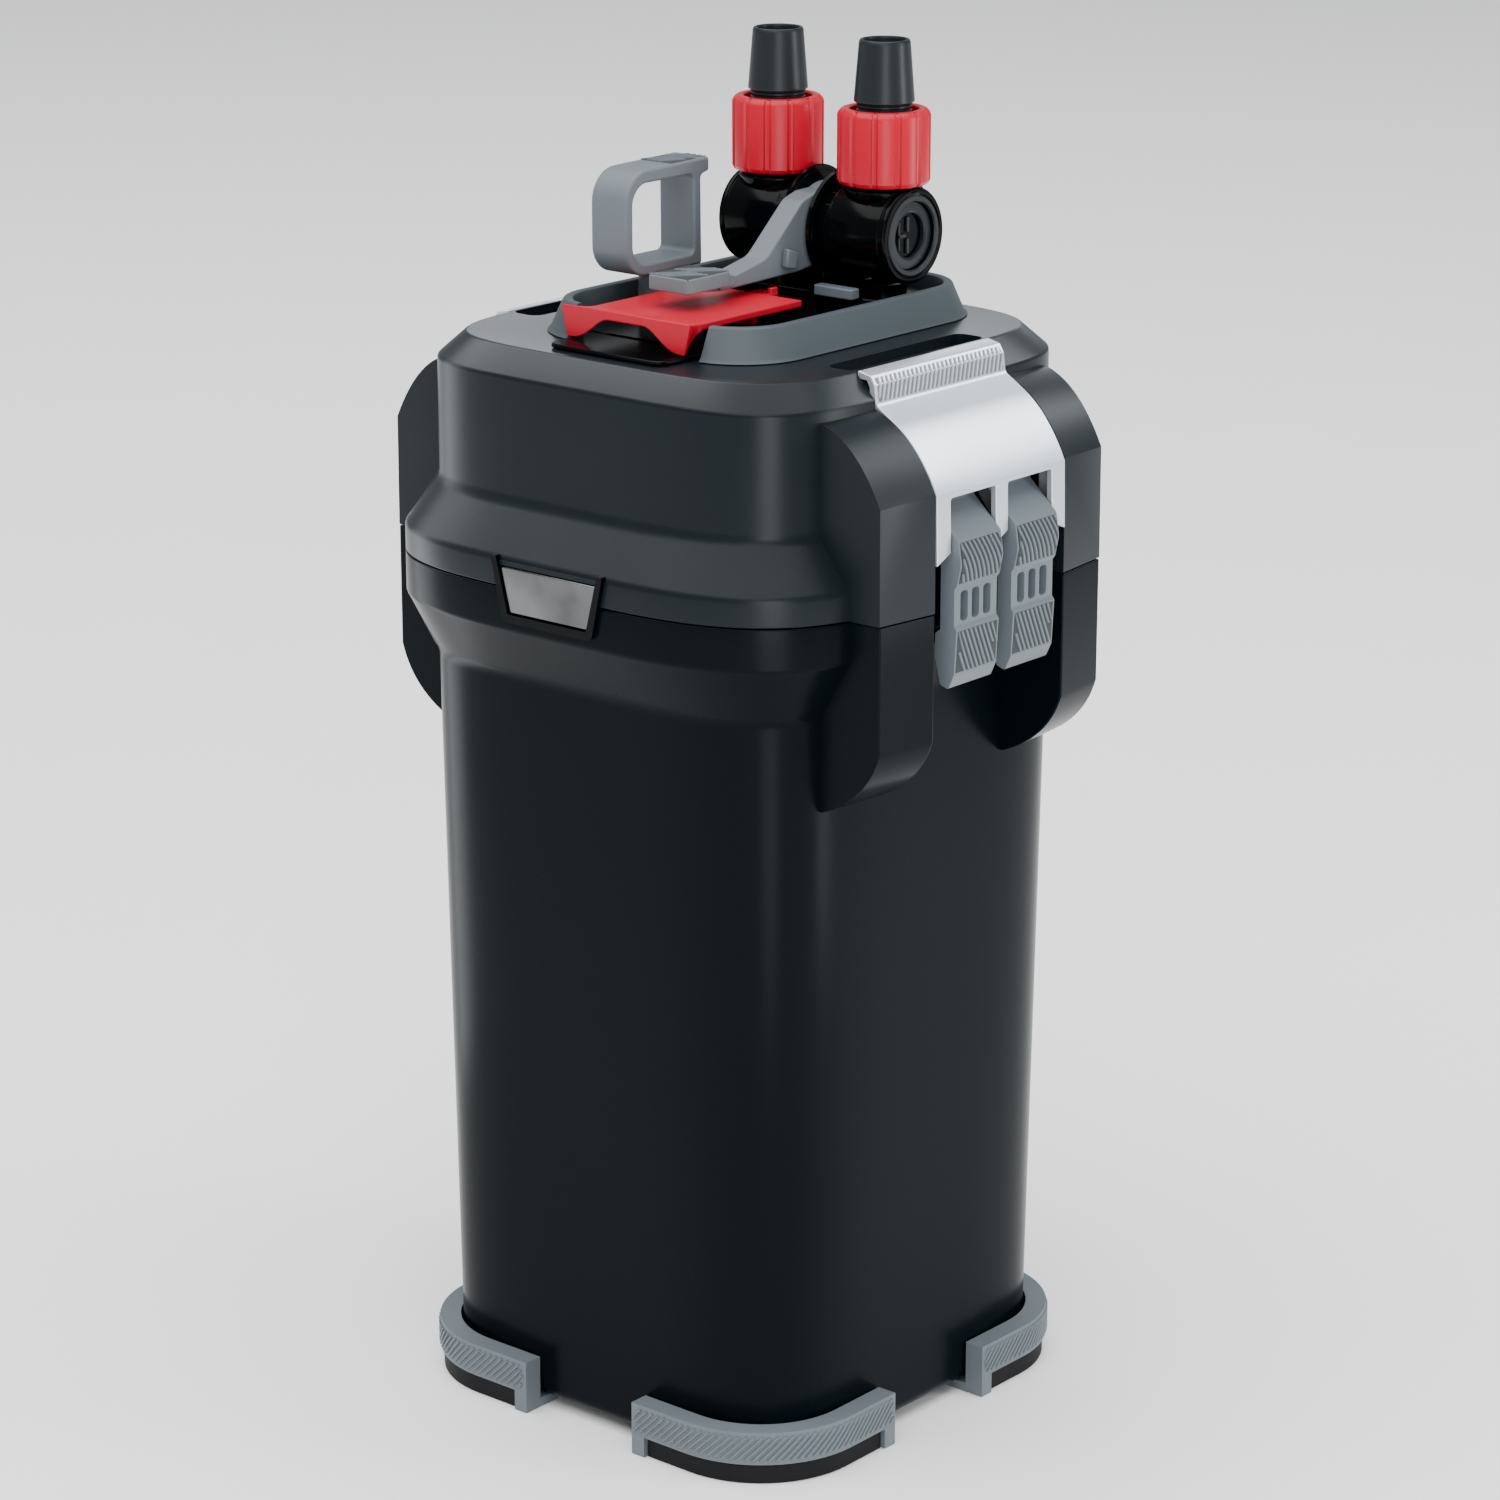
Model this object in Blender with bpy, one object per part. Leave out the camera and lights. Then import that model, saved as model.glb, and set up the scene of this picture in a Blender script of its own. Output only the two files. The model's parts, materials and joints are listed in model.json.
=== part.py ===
"""Canister filter for an aquarium or a pond: canister, lifting head, valve block, latches and media.

Metres, +Z up. The origin is under the middle of the canister, on the surface it stands on. The badge
faces -Y and the two latches are on the +X and -X flanks.
"""

import math

import bmesh
import bpy
from mathutils import Matrix, Vector

MM = 0.001
GAP = 0.3 * MM

# Overall levels, bottom to top.
FLOOR_Z = 3.2 * MM
CANISTER_TOP_Z = 238.0 * MM
FLANGE_Z = 256.4 * MM
SEAM_Z = 269.4 * MM
BAND_TOP_Z = 277.0 * MM
WAIST_Z = 291.0 * MM
DECK_Z = 336.5 * MM
COLLAR_TOP_Z = 346.6 * MM
VALVE_Z = 361.7 * MM
NOZZLE_TOP_Z = 420.0 * MM

# Half widths of the rounded squares, and how square their corners are.
CANISTER_FOOT_HALF = 72.5 * MM
CANISTER_HEAD_HALF = 76.0 * MM
FLANGE_HALF = 88.0 * MM
HEAD_HALF = 75.6 * MM
DECK_HALF = 68.4 * MM
CORNER_FOOT = 5.4
CORNER_BODY = 5.0
CORNER_FLANGE = 3.7
SHELL_SIDES = 44
PLATE_SIDES = 36

# Flank cheeks and clamps.
CHEEK_IN_Y = 31.0 * MM
CHEEK_OUT_Y = 53.0 * MM
CHEEK_IN_X = 98.0 * MM
CHEEK_OUT_X = 95.2 * MM
CHEEK_TOP_Z = 326.3 * MM
LATCH_X = 88.0 * MM
LATCH_Z = 306.0 * MM
LATCH_BARREL_R = 3.6 * MM
PIN_R = 1.5 * MM
FINGER_IN_Y = 3.5 * MM
FINGER_OUT_Y = 23.7 * MM

# Valve block.
VALVE_Y = 40.6 * MM
SLEEVE_R = 14.7 * MM
SLEEVE_IN_X = 6.4 * MM
SLEEVE_OUT_X = 32.7 * MM
SLEEVE_BORE_R = 10.4 * MM
NOZZLE_X = 20.8 * MM
NUT_R = 14.2 * MM
NUT_LOW_Z = 376.6 * MM
NUT_HIGH_Z = 399.4 * MM
LEVER_HALF = 4.0 * MM

# Inside of the head.
MOTOR_X = 14.0 * MM
MOTOR_Y = -24.0 * MM
PRIMER_X = -31.0 * MM
PRIMER_Y = -7.0 * MM
PLATE_LOW_Z = 262.0 * MM
CEILING_Z = 330.9 * MM
BOSS_XY = 52.0 * MM
INTAKE_X = -46.0 * MM
INTAKE_Y = 36.0 * MM
GLAND_X = -40.0 * MM
GLAND_Z = 312.0 * MM
DECK_TRIM_Z = 338.6 * MM

# Front opening of the collar, and the black apron that runs out through it.
FRONT_GAP_X = 25.8 * MM
APRON_X = 22.0 * MM
APRON_Y = -64.0 * MM

# Media.
BASKET_LOW_Z = 9.0 * MM
BASKET_TALL = 76.0 * MM
BASKET_PITCH = 76.4 * MM
BASKET_LO = (-30.0 * MM, -64.0 * MM)
BASKET_HI = (66.5 * MM, 64.0 * MM)
BASKET_WALL = 1.8 * MM
FOAM_LO_X = -65.5 * MM
FOAM_HI_X = -32.0 * MM
FOAM_HALF_Y = 52.0 * MM

# Feet.
FOOT_FACE = 79.5 * MM
FOOT_IN = 72.9 * MM
FOOT_END = 22.0 * MM
FOOT_CORNER_R = 36.0 * MM
FOOT_PLATE_IN = 60.0 * MM
FOOT_PLATE_OUT = 74.6 * MM


# ------------------------------------------------------------------ materials

def material(name, colour, roughness, metallic=0.0):
    made = bpy.data.materials.get(name)
    if made:
        return made
    made = bpy.data.materials.new(name)
    made.use_nodes = True
    shader = made.node_tree.nodes["Principled BSDF"]
    shader.inputs["Base Color"].default_value = (*colour, 1.0)
    shader.inputs["Roughness"].default_value = roughness
    shader.inputs["Metallic"].default_value = metallic
    return made


def canister_black():
    return material("canister_black", (0.012, 0.015, 0.019), 0.3)


def head_slate():
    return material("head_slate", (0.030, 0.036, 0.041), 0.38)


def collar_grey():
    return material("collar_grey", (0.115, 0.135, 0.145), 0.42)


def trim_grey():
    return material("trim_grey", (0.21, 0.23, 0.25), 0.42)


def deck_black():
    return material("deck_black", (0.008, 0.009, 0.011), 0.25)


def silver():
    return material("silver", (0.58, 0.60, 0.63), 0.32, 0.85)


def red():
    return material("red", (0.78, 0.025, 0.03), 0.32)


def steel():
    return material("steel", (0.6, 0.6, 0.6), 0.3, 1.0)


def rubber():
    return material("rubber", (0.015, 0.015, 0.016), 0.7)


def ceramic():
    return material("ceramic", (0.8, 0.78, 0.74), 0.4)


def foam_grey():
    return material("foam_grey", (0.06, 0.065, 0.07), 0.95)


# ------------------------------------------------------------------ mesh tools

def add_object(name, shape, finish, pivot=(0.0, 0.0, 0.0), smooth=30.0):
    """An object from a bmesh drawn in world coordinates, with its origin on the pivot."""
    bmesh.ops.recalc_face_normals(shape, faces=shape.faces)
    if shape.calc_volume(signed=True) < 0.0:
        bmesh.ops.reverse_faces(shape, faces=shape.faces)
    bmesh.ops.translate(shape, verts=shape.verts, vec=-Vector(pivot))
    mesh = bpy.data.meshes.new(name)
    shape.to_mesh(mesh)
    shape.free()
    mesh.shade_smooth()
    mesh.set_sharp_from_angle(angle=math.radians(smooth))
    made = bpy.data.objects.new(name, mesh)
    made.location = pivot
    made.data.materials.append(finish)
    bpy.context.scene.collection.objects.link(made)
    return made


def loft(rings, closed=False):
    """Skin of equal rings of points; its ends are capped, or the last ring joins the first."""
    shape = bmesh.new()
    rows = [[shape.verts.new(point) for point in ring] for ring in rings]
    count = len(rows[0])
    pairs = list(zip(rows, rows[1:]))
    if closed:
        pairs.append((rows[-1], rows[0]))
    for low, high in pairs:
        for i in range(count):
            j = (i + 1) % count
            shape.faces.new((low[i], low[j], high[j], high[i]))
    if not closed:
        shape.faces.new(rows[0])
        shape.faces.new(rows[-1])
    return shape


def rounded_square(half_x, half_y, power, z, centre=(0.0, 0.0), sides=SHELL_SIDES):
    """Points of a superellipse: a square whose sides bulge a little and whose corners are round."""
    points = []
    for i in range(sides):
        turn = 2.0 * math.pi * (i + 0.5) / sides
        c = math.cos(turn)
        s = math.sin(turn)
        reach = (abs(c) ** power + abs(s) ** power) ** (-1.0 / power)
        points.append((centre[0] + half_x * c * reach, centre[1] + half_y * s * reach, z))
    return points


def shell_rings(steps, sides=SHELL_SIDES):
    """Rings from (height, half width, corner power) steps."""
    return [rounded_square(half, half, power, z, sides=sides) for z, half, power in steps]


def prism(outline, axis, low, high, outline_high=None):
    """A flat outline pushed along an axis; with a second outline the far end differs."""
    def place(point, along):
        if axis == "X":
            return (along, point[0], point[1])
        if axis == "Y":
            return (point[0], along, point[1])
        return (point[0], point[1], along)
    far = outline_high or outline
    return loft([[place(p, low) for p in outline], [place(p, high) for p in far]])


def block(low, high):
    outline = [(low[0], low[1]), (high[0], low[1]), (high[0], high[1]), (low[0], high[1])]
    return prism(outline, "Z", low[2], high[2])


def turned(profile, centre, axis="Z", sides=32, wobble=None):
    """A closed (radius, along) profile turned about an axis through the centre, solid to the axis at 0."""
    rings = []
    for radius, along in profile:
        ring = []
        for i in range(sides):
            turn = 2.0 * math.pi * (i + 0.5) / sides
            r = radius * (wobble(i) if wobble else 1.0)
            a = r * math.cos(turn)
            b = r * math.sin(turn)
            if axis == "Z":
                ring.append((centre[0] + a, centre[1] + b, along))
            elif axis == "X":
                ring.append((along, centre[1] + a, centre[2] + b))
            else:
                ring.append((centre[0] + a, along, centre[2] + b))
        rings.append(ring)
    return rings


def rod(profile, centre, axis="Z", sides=32):
    return loft(turned(profile, centre, axis, sides))


def ring(profile, centre, axis="Z", sides=32):
    return loft(turned(profile, centre, axis, sides), closed=True)


def rounded_outline(corners, arc_steps=4):
    """A closed outline from (x, y, radius) corners, each turned by an arc of its own radius."""
    points = []
    count = len(corners)
    for i in range(count):
        here = Vector(corners[i][:2])
        radius = corners[i][2]
        if radius <= 0.0:
            points.append(tuple(here))
            continue
        to_last = (Vector(corners[i - 1][:2]) - here).normalized()
        to_next = (Vector(corners[(i + 1) % count][:2]) - here).normalized()
        half = to_last.angle(to_next) / 2.0
        reach = radius / math.tan(half)
        centre = here + (to_last + to_next).normalized() * (radius / math.sin(half))
        start = here + to_last * reach - centre
        end = here + to_next * reach - centre
        sweep = start.angle_signed(end)
        for k in range(arc_steps + 1):
            points.append(tuple(centre + Matrix.Rotation(-sweep * k / arc_steps, 2) @ start))
    return points


def tube_along(points, outer, inner, sides=10):
    """An open pipe along a route of points."""
    rings = []
    for radius in (outer, inner):
        run = []
        for i, point in enumerate(points):
            ahead = Vector(points[min(i + 1, len(points) - 1)])
            behind = Vector(points[max(i - 1, 0)])
            way = (ahead - behind).normalized()
            side = way.cross(Vector((0.35, 1.0, 0.1))).normalized()
            over = side.cross(way)
            run.append([Vector(point) + radius * (math.cos(t) * side + math.sin(t) * over)
                        for t in (2.0 * math.pi * k / sides for k in range(sides))])
        rings.append(run)
    return loft(rings[0] + rings[1][::-1], closed=True)


def boolean(target, shape, operation):
    """Adds or takes away a hidden guide body drawn in world coordinates."""
    count = sum(1 for m in target.modifiers if m.type == "BOOLEAN")
    guide = add_object(f"{target.name}_{operation.lower()}_{count}", shape, target.data.materials[0])
    guide.hide_render = True
    guide.display_type = "WIRE"
    step = target.modifiers.new(f"{operation.lower()}_{count}", "BOOLEAN")
    step.operation = operation
    step.solver = "EXACT"
    step.object = guide


def weld(target, shape):
    boolean(target, shape, "UNION")


def carve(target, shape):
    boolean(target, shape, "DIFFERENCE")


def soften(target, width, segments=1, angle=40.0):
    step = target.modifiers.new("bevel", "BEVEL")
    step.width = width
    step.segments = segments
    step.limit_method = "ANGLE"
    step.angle_limit = math.radians(angle)


def flip_x(outline, side):
    return [(side * x, z) for x, z in outline]


# ------------------------------------------------------------------ canister and feet

def cheek(side, front, outline_in, outline_out):
    """One flank cheek: the inner outline faces the clamp, the outer one leans in a little."""
    return prism(flip_x(outline_in, side), "Y", front * CHEEK_IN_Y, front * CHEEK_OUT_Y,
                 flip_x(outline_out, side))


def lower_cheek_outline(outer_x, root_x, top_z):
    return [(root_x, top_z), (outer_x, top_z), (outer_x, 231.4 * MM), (outer_x - 1.0 * MM, 226.0 * MM),
            (outer_x - 4.2 * MM, 221.0 * MM), (outer_x - 10.0 * MM, 216.0 * MM),
            (76.0 * MM, 210.6 * MM), (root_x, 210.6 * MM)]


def make_canister():
    top = SEAM_Z - GAP / 2.0
    steps = [
        (FLOOR_Z, 67.5 * MM, CORNER_FOOT), (4.4 * MM, 70.6 * MM, CORNER_FOOT), (7.0 * MM, 72.2 * MM,
                                                                                CORNER_FOOT),
        (17.0 * MM, CANISTER_FOOT_HALF, CORNER_FOOT), (CANISTER_TOP_Z, CANISTER_HEAD_HALF, CORNER_BODY),
        (240.5 * MM, 77.0 * MM, CORNER_BODY), (247.5 * MM, 82.2 * MM, 4.2),
        (254.6 * MM, 87.2 * MM, 3.75), (FLANGE_Z, FLANGE_HALF, CORNER_FLANGE), (top, FLANGE_HALF,
                                                                                CORNER_FLANGE),
        (top, 73.2 * MM, CORNER_BODY), (CANISTER_TOP_Z, 73.0 * MM, CORNER_BODY), (6.4 * MM, 69.4 * MM,
                                                                                  CORNER_FOOT),
    ]
    shell = add_object("canister_shell", loft(shell_rings(steps)), canister_black())
    for side in (-1, 1):
        for front in (-1, 1):
            inner = lower_cheek_outline(CHEEK_IN_X, 74.4 * MM, top)
            outer = lower_cheek_outline(CHEEK_OUT_X, 71.4 * MM, top)
            weld(shell, cheek(side, front, inner, outer))
        bar = [(side * x, z) for x, z in ((86.0 * MM, 262.4 * MM), (91.4 * MM, 262.4 * MM),
                                          (91.4 * MM, 268.2 * MM), (86.0 * MM, 268.2 * MM))]
        weld(shell, prism(bar, "Y", -CHEEK_IN_Y - 1.0 * MM, CHEEK_IN_Y + 1.0 * MM))
    pocket = [(-20.9 * MM, 280.0 * MM), (-17.3 * MM, 260.3 * MM), (17.3 * MM, 260.3 * MM),
              (20.9 * MM, 280.0 * MM)]
    carve(shell, prism(pocket, "Y", -95.0 * MM, -84.9 * MM))
    return shell


def corner_band(outer, inner, end, corner_r, sides=7):
    """Outline of an L that hugs one corner, seen from above, for the +X +Y corner."""
    def arc(half, radius):
        centre = half - radius
        turns = [math.pi / 2.0 * i / sides for i in range(sides + 1)]
        return [(centre + radius * math.sin(t), centre + radius * math.cos(t)) for t in turns]
    outside = [(end, outer)] + arc(outer, corner_r) + [(outer, end)]
    inside = [(inner, end)] + arc(inner, corner_r - (outer - inner))[::-1] + [(end, inner)]
    return outside + inside


def make_feet():
    names = {(1, 1): "rear_right", (-1, 1): "rear_left", (1, -1): "front_right", (-1, -1): "front_left"}
    for (sx, sy), place in names.items():
        def turn(outline):
            return [(sx * x, sy * y) for x, y in outline]
        band = corner_band(FOOT_FACE, FOOT_IN, FOOT_END, FOOT_CORNER_R)
        foot = add_object("foot_" + place, prism(turn(band), "Z", 6.5 * MM, 17.0 * MM), trim_grey())
        plate = corner_band(FOOT_PLATE_OUT, FOOT_PLATE_IN, FOOT_END + 1.0 * MM, 30.0 * MM)
        weld(foot, prism(turn(plate), "Z", 1.9 * MM, 2.9 * MM))
        for swap in (False, True):
            for inside, low, high in ((FOOT_PLATE_IN, 0.0, 2.9 * MM), (FOOT_IN, 2.0 * MM, 9.0 * MM)):
                tab = [(FOOT_END, inside), (FOOT_END + 5.0 * MM, inside),
                       (FOOT_END + 5.0 * MM, FOOT_FACE), (FOOT_END, FOOT_FACE)]
                weld(foot, prism(turn([(y, x) for x, y in tab] if swap else tab), "Z", low, high))
        sole = corner_band(78.2 * MM, FOOT_PLATE_IN + 1.0 * MM, FOOT_END + 5.4 * MM, 34.0 * MM)
        pad = add_object("foot_pad_" + place, prism(turn(sole), "Z", 0.0, 1.6 * MM), rubber())
        skirt = corner_band(78.2 * MM, FOOT_PLATE_OUT + 0.3 * MM, FOOT_END + 5.4 * MM, 34.0 * MM)
        weld(pad, prism(turn(skirt), "Z", 1.0 * MM, 6.1 * MM))


# ------------------------------------------------------------------ head

def upper_cheek_outline(outer_x, root_x, low_z):
    """The shoulder bulges from the head's side down to the ridge, then the flank is upright."""
    bulge = [(17.4, 324.4), (11.0, 319.4), (4.8, 312.4), (0.9, 305.4), (0.0, 303.4)]
    shoulder = [(outer_x - inward * MM, z * MM) for inward, z in bulge]
    top = [(root_x, CHEEK_TOP_Z), (root_x + 1.2 * MM, CHEEK_TOP_Z)]
    return top + shoulder + [(outer_x, low_z), (root_x, low_z)]


def trapezoid(top_half, low_half, low, high):
    return [(-low_half, low), (low_half, low), (top_half, high), (-top_half, high)]


def make_lid():
    low = SEAM_Z + GAP / 2.0
    outside = [
        (DECK_Z, DECK_HALF, 4.8), (335.7 * MM, 69.4 * MM, 4.8), (329.0 * MM, HEAD_HALF, 4.8),
        (300.0 * MM, 76.0 * MM, 4.7), (293.5 * MM, 76.6 * MM, 4.6), (WAIST_Z - 1.0 * MM, 78.4 * MM, 4.4),
        (279.2 * MM, 86.8 * MM, 3.75), (BAND_TOP_Z, FLANGE_HALF, CORNER_FLANGE), (low, FLANGE_HALF, CORNER_FLANGE),
    ]
    inside = [
        (low, 73.0 * MM, CORNER_BODY), (WAIST_Z, 72.8 * MM, CORNER_BODY), (300.0 * MM, 70.0 * MM, CORNER_BODY),
        (326.0 * MM, 69.2 * MM, CORNER_BODY), (CEILING_Z, 62.0 * MM, CORNER_BODY),
    ]
    steps = outside + inside
    shell = add_object("lid_shell", loft(shell_rings(steps)), head_slate())
    for side in (-1, 1):
        for front in (-1, 1):
            inner = upper_cheek_outline(CHEEK_IN_X, 74.2 * MM, low)
            outer = upper_cheek_outline(CHEEK_OUT_X, 71.2 * MM, low)
            weld(shell, cheek(side, front, inner, outer))
    weld(shell, prism(trapezoid(20.4 * MM, 17.0 * MM, 260.8 * MM, 277.3 * MM), "Y", -88.4 * MM, -85.4 * MM))
    for sx in (-1, 1):
        for sy in (-1, 1):
            weld(shell, rod([(5.0 * MM, 272.2 * MM), (5.0 * MM, 331.5 * MM)],
                            (sx * BOSS_XY, sy * BOSS_XY, 0.0), sides=8))
    for side in (-1, 1):
        wall_cut = [(side * x, z) for x, z in ((72.6 * MM, 296.0 * MM), (90.0 * MM, 296.0 * MM),
                                               (90.0 * MM, 340.0 * MM), (68.2 * MM, 340.0 * MM),
                                               (68.2 * MM, 334.0 * MM), (72.6 * MM, 334.0 * MM))]
        carve(shell, prism(wall_cut, "Y", -CHEEK_IN_Y, CHEEK_IN_Y))
        finger = rounded_outline([(side * 56.5 * MM, -31.0 * MM, 3 * MM),
                                  (side * 66.6 * MM, -31.0 * MM, 3 * MM),
                                  (side * 66.6 * MM, 32.0 * MM, 3 * MM), (side * 56.5 * MM, 32.0 * MM,
                                                                          3 * MM)], 2)
        carve(shell, prism(finger, "Z", 333.6 * MM, 338.0 * MM))
        carve(shell, rod([(10.0 * MM, 325.0 * MM), (10.0 * MM, 340.0 * MM)],
                         (side * NOZZLE_X, VALVE_Y, 0.0), sides=20))
    carve(shell, rod([(4.8 * MM, 325.0 * MM), (4.8 * MM, 340.0 * MM)], (PRIMER_X, PRIMER_Y, 0.0), sides=16))
    carve(shell, prism(trapezoid(19.3 * MM, 15.6 * MM, 261.8 * MM, 276.2 * MM), "Y", -92.0 * MM, -87.0 * MM))
    carve(shell, rod([(3.9 * MM, 60.0 * MM), (3.9 * MM, 80.0 * MM)], (GLAND_X, 0.0, GLAND_Z), "Y", sides=12))
    for sx in (-1, 1):
        for sy in (-1, 1):
            carve(shell, rod([(1.7 * MM, 270.0 * MM), (1.7 * MM, 285.0 * MM)],
                             (sx * BOSS_XY, sy * BOSS_XY, 0.0), sides=6))


def make_badge():
    plate = prism(trapezoid(18.9 * MM, 15.2 * MM, 262.2 * MM, 275.8 * MM), "Y", -88.7 * MM, -87.3 * MM)
    soften(add_object("badge_plate", plate, silver()), 0.4 * MM)


def collar_ring(half_x, front, rear, radius, z):
    corners = [(-half_x, front, radius), (half_x, front, radius), (half_x, rear, radius),
               (-half_x, rear, radius)]
    return [(x, y, z) for x, y in rounded_outline(corners, 5)]


def make_collar():
    low = DECK_Z + GAP
    rings = [
        collar_ring(45.7 * MM, -51.0 * MM, 65.0 * MM, 22.0 * MM, low),
        collar_ring(41.4 * MM, -47.0 * MM, 61.4 * MM, 18.6 * MM, COLLAR_TOP_Z - 0.6 * MM),
        collar_ring(40.6 * MM, -46.3 * MM, 60.8 * MM, 18.0 * MM, COLLAR_TOP_Z),
        collar_ring(38.6 * MM, -44.3 * MM, 58.8 * MM, 16.2 * MM, COLLAR_TOP_Z),
        collar_ring(38.2 * MM, -43.9 * MM, 58.4 * MM, 15.8 * MM, low),
    ]
    collar = add_object("head_collar", loft(rings, closed=True), collar_grey())
    carve(collar, block((-FRONT_GAP_X, -60.0 * MM, DECK_Z), (FRONT_GAP_X, -42.0 * MM, 352.0 * MM)))


def make_deck_insert():
    rings = [collar_ring(37.8 * MM, -43.5 * MM, 58.0 * MM, 15.4 * MM, DECK_Z + GAP),
             collar_ring(37.8 * MM, -43.5 * MM, 58.0 * MM, 15.4 * MM, DECK_TRIM_Z)]
    deck = add_object("deck_insert", loft(rings), deck_black())
    apron = rounded_outline([(-APRON_X, APRON_Y, 4.0 * MM), (APRON_X, APRON_Y, 4.0 * MM),
                             (APRON_X, -42.0 * MM, 0.0), (-APRON_X, -42.0 * MM, 0.0)], 3)
    weld(deck, prism(apron, "Z", DECK_Z + GAP, DECK_TRIM_Z - 0.4 * MM))
    carve(deck, rod([(4.8 * MM, 330.0 * MM), (4.8 * MM, 342.0 * MM)], (PRIMER_X, PRIMER_Y, 0.0), sides=16))
    for side in (-1, 1):
        carve(deck, rod([(8.3 * MM, 330.0 * MM), (8.3 * MM, 342.0 * MM)], (side * NOZZLE_X, VALVE_Y, 0.0),
                        sides=20))


def make_tongue():
    lip = [(-24.6, 348.0), (24.6, 348.0), (24.8, 346.6), (21.8, 338.5), (20.0, 338.5), (15.0, 345.6),
           (-15.0, 345.6),
           (-20.0, 338.5), (-21.8, 338.5), (-24.8, 346.6)]
    root = [(-21.0, 346.4), (21.0, 346.4), (21.0, 344.0), (20.8, 340.4), (19.6, 340.4), (17.0, 344.2),
            (-17.0, 344.2),
            (-19.6, 340.4), (-20.8, 340.4), (-21.0, 344.0)]
    shape = prism([(x * MM, z * MM) for x, z in lip], "Y", -53.4 * MM, -44.0 * MM,
                  [(x * MM, z * MM) for x, z in root])
    tongue = add_object("front_tongue", shape, red())
    weld(tongue, block((-20.8 * MM, -45.0 * MM, 344.3 * MM), (20.8 * MM, 2.0 * MM, 346.4 * MM)))
    weld(tongue, block((-10.0 * MM, -8.0 * MM, DECK_TRIM_Z + GAP), (10.0 * MM, -5.5 * MM, 345.0 * MM)))
    weld(tongue, block((-2.0 * MM, 0.0, 344.6 * MM), (5.5 * MM, 9.5 * MM, 345.8 * MM)))


def cover_outline():
    """Outer skin from the deck down over the ridge, then the inner skin back up."""
    outer = [(68.5, 336.8), (73.4, 335.8), (74.7, 333.2), (75.1, 326.8), (80.6, 324.6), (87.0, 319.6),
             (93.2, 312.6),
             (97.4, 305.6), (98.2, 303.6), (98.5, 283.0)]
    inner = [(96.3, 283.0), (96.0, 303.0), (95.4, 304.8), (91.4, 311.3), (85.6, 317.8), (79.6, 322.2),
             (72.9, 323.4),
             (72.9, 332.4), (71.8, 334.4), (68.5, 334.4)]
    return [(x * MM, z * MM) for x, z in outer + inner]


def make_clamp_covers():
    for side, name in ((1, "right"), (-1, "left")):
        half = CHEEK_IN_Y - GAP
        cover = add_object("clamp_cover_" + name, prism(flip_x(cover_outline(), side), "Y", -half, half),
                           silver())
        for front in (-1, 1):
            window = block((min(side * 82.0, side * 110.0) * MM, min(front * 2.9, front * 24.2) * MM,
                            270.0 * MM),
                           (max(side * 82.0, side * 110.0) * MM, max(front * 2.9, front * 24.2) * MM,
                            302.5 * MM))
            carve(cover, window)
        carve(cover, block((min(side * 82.0, side * 110.0) * MM, -4.0 * MM, 280.0 * MM),
                           (max(side * 82.0, side * 110.0) * MM, 4.0 * MM, 286.0 * MM)))


def finger_outline():
    points = [(86.4, 304.0), (86.2, 298.0), (94.2, 288.0), (94.2, 263.0), (92.4, 261.6), (92.4, 254.6),
              (94.4, 246.4),
              (97.6, 245.6), (99.4, 250.0), (100.1, 263.6), (99.2, 264.4), (99.2, 275.8), (100.2,
                                                                                           276.8), (101.4,
                                                                                                    283.0),
              (100.3, 290.0), (90.4, 299.2), (90.2, 304.0)]
    return [(x * MM, z * MM) for x, z in points]


def make_latches():
    for side, name in ((1, "right"), (-1, "left")):
        centre = (side * LATCH_X, 0.0, LATCH_Z)
        barrel = rod([(LATCH_BARREL_R, -FINGER_OUT_Y), (LATCH_BARREL_R, FINGER_OUT_Y)], centre, "Y",
                     sides=16)
        latch = add_object("latch_" + name, barrel, trim_grey(), centre)
        for front in (-1, 1):
            weld(latch, prism(flip_x(finger_outline(), side), "Y", front * FINGER_IN_Y,
                              front * (FINGER_OUT_Y - 0.1 * MM)))
        carve(latch, rod([(PIN_R + 0.4 * MM, -40.0 * MM), (PIN_R + 0.4 * MM, 40.0 * MM)], centre, "Y",
                         sides=16))
        pin = rod([(PIN_R, -CHEEK_IN_Y + GAP), (PIN_R, CHEEK_IN_Y - GAP)], centre, "Y", sides=12)
        add_object("latch_pin_" + name, pin, steel(), centre)


def make_seal_and_plate():
    ring_steps = [(264.2 * MM, 72.6 * MM), (267.2 * MM, 72.6 * MM), (267.2 * MM, 70.8 * MM),
                  (264.2 * MM, 70.8 * MM)]
    rings = [rounded_square(half, half, CORNER_BODY, z, sides=PLATE_SIDES) for z, half in ring_steps]
    add_object("lid_seal", loft(rings, closed=True), rubber())
    steps = [(PLATE_LOW_Z, 71.2), (263.4 * MM, 72.1), (263.8 * MM, 72.1), (263.8 * MM, 70.4),
             (267.6 * MM, 70.4),
             (267.6 * MM, 72.1), (271.4 * MM, 72.1), (271.4 * MM, 68.4), (265.0 * MM, 68.4)]
    plate = add_object("head_underplate",
                       loft([rounded_square(half * MM, half * MM, CORNER_BODY, z, sides=PLATE_SIDES) for z,
                             half in steps]),
                       deck_black())
    holes = [(INTAKE_X, INTAKE_Y, 9.2), (MOTOR_X, MOTOR_Y, 13.5), (PRIMER_X, PRIMER_Y, 5.0)]
    holes += [(sx * BOSS_XY, sy * BOSS_XY, 2.2) for sx in (-1, 1) for sy in (-1, 1)]
    for x, y, radius in holes:
        carve(plate, rod([(radius * MM, 258.0 * MM), (radius * MM, 268.0 * MM)], (x, y, 0.0), sides=10))


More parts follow.
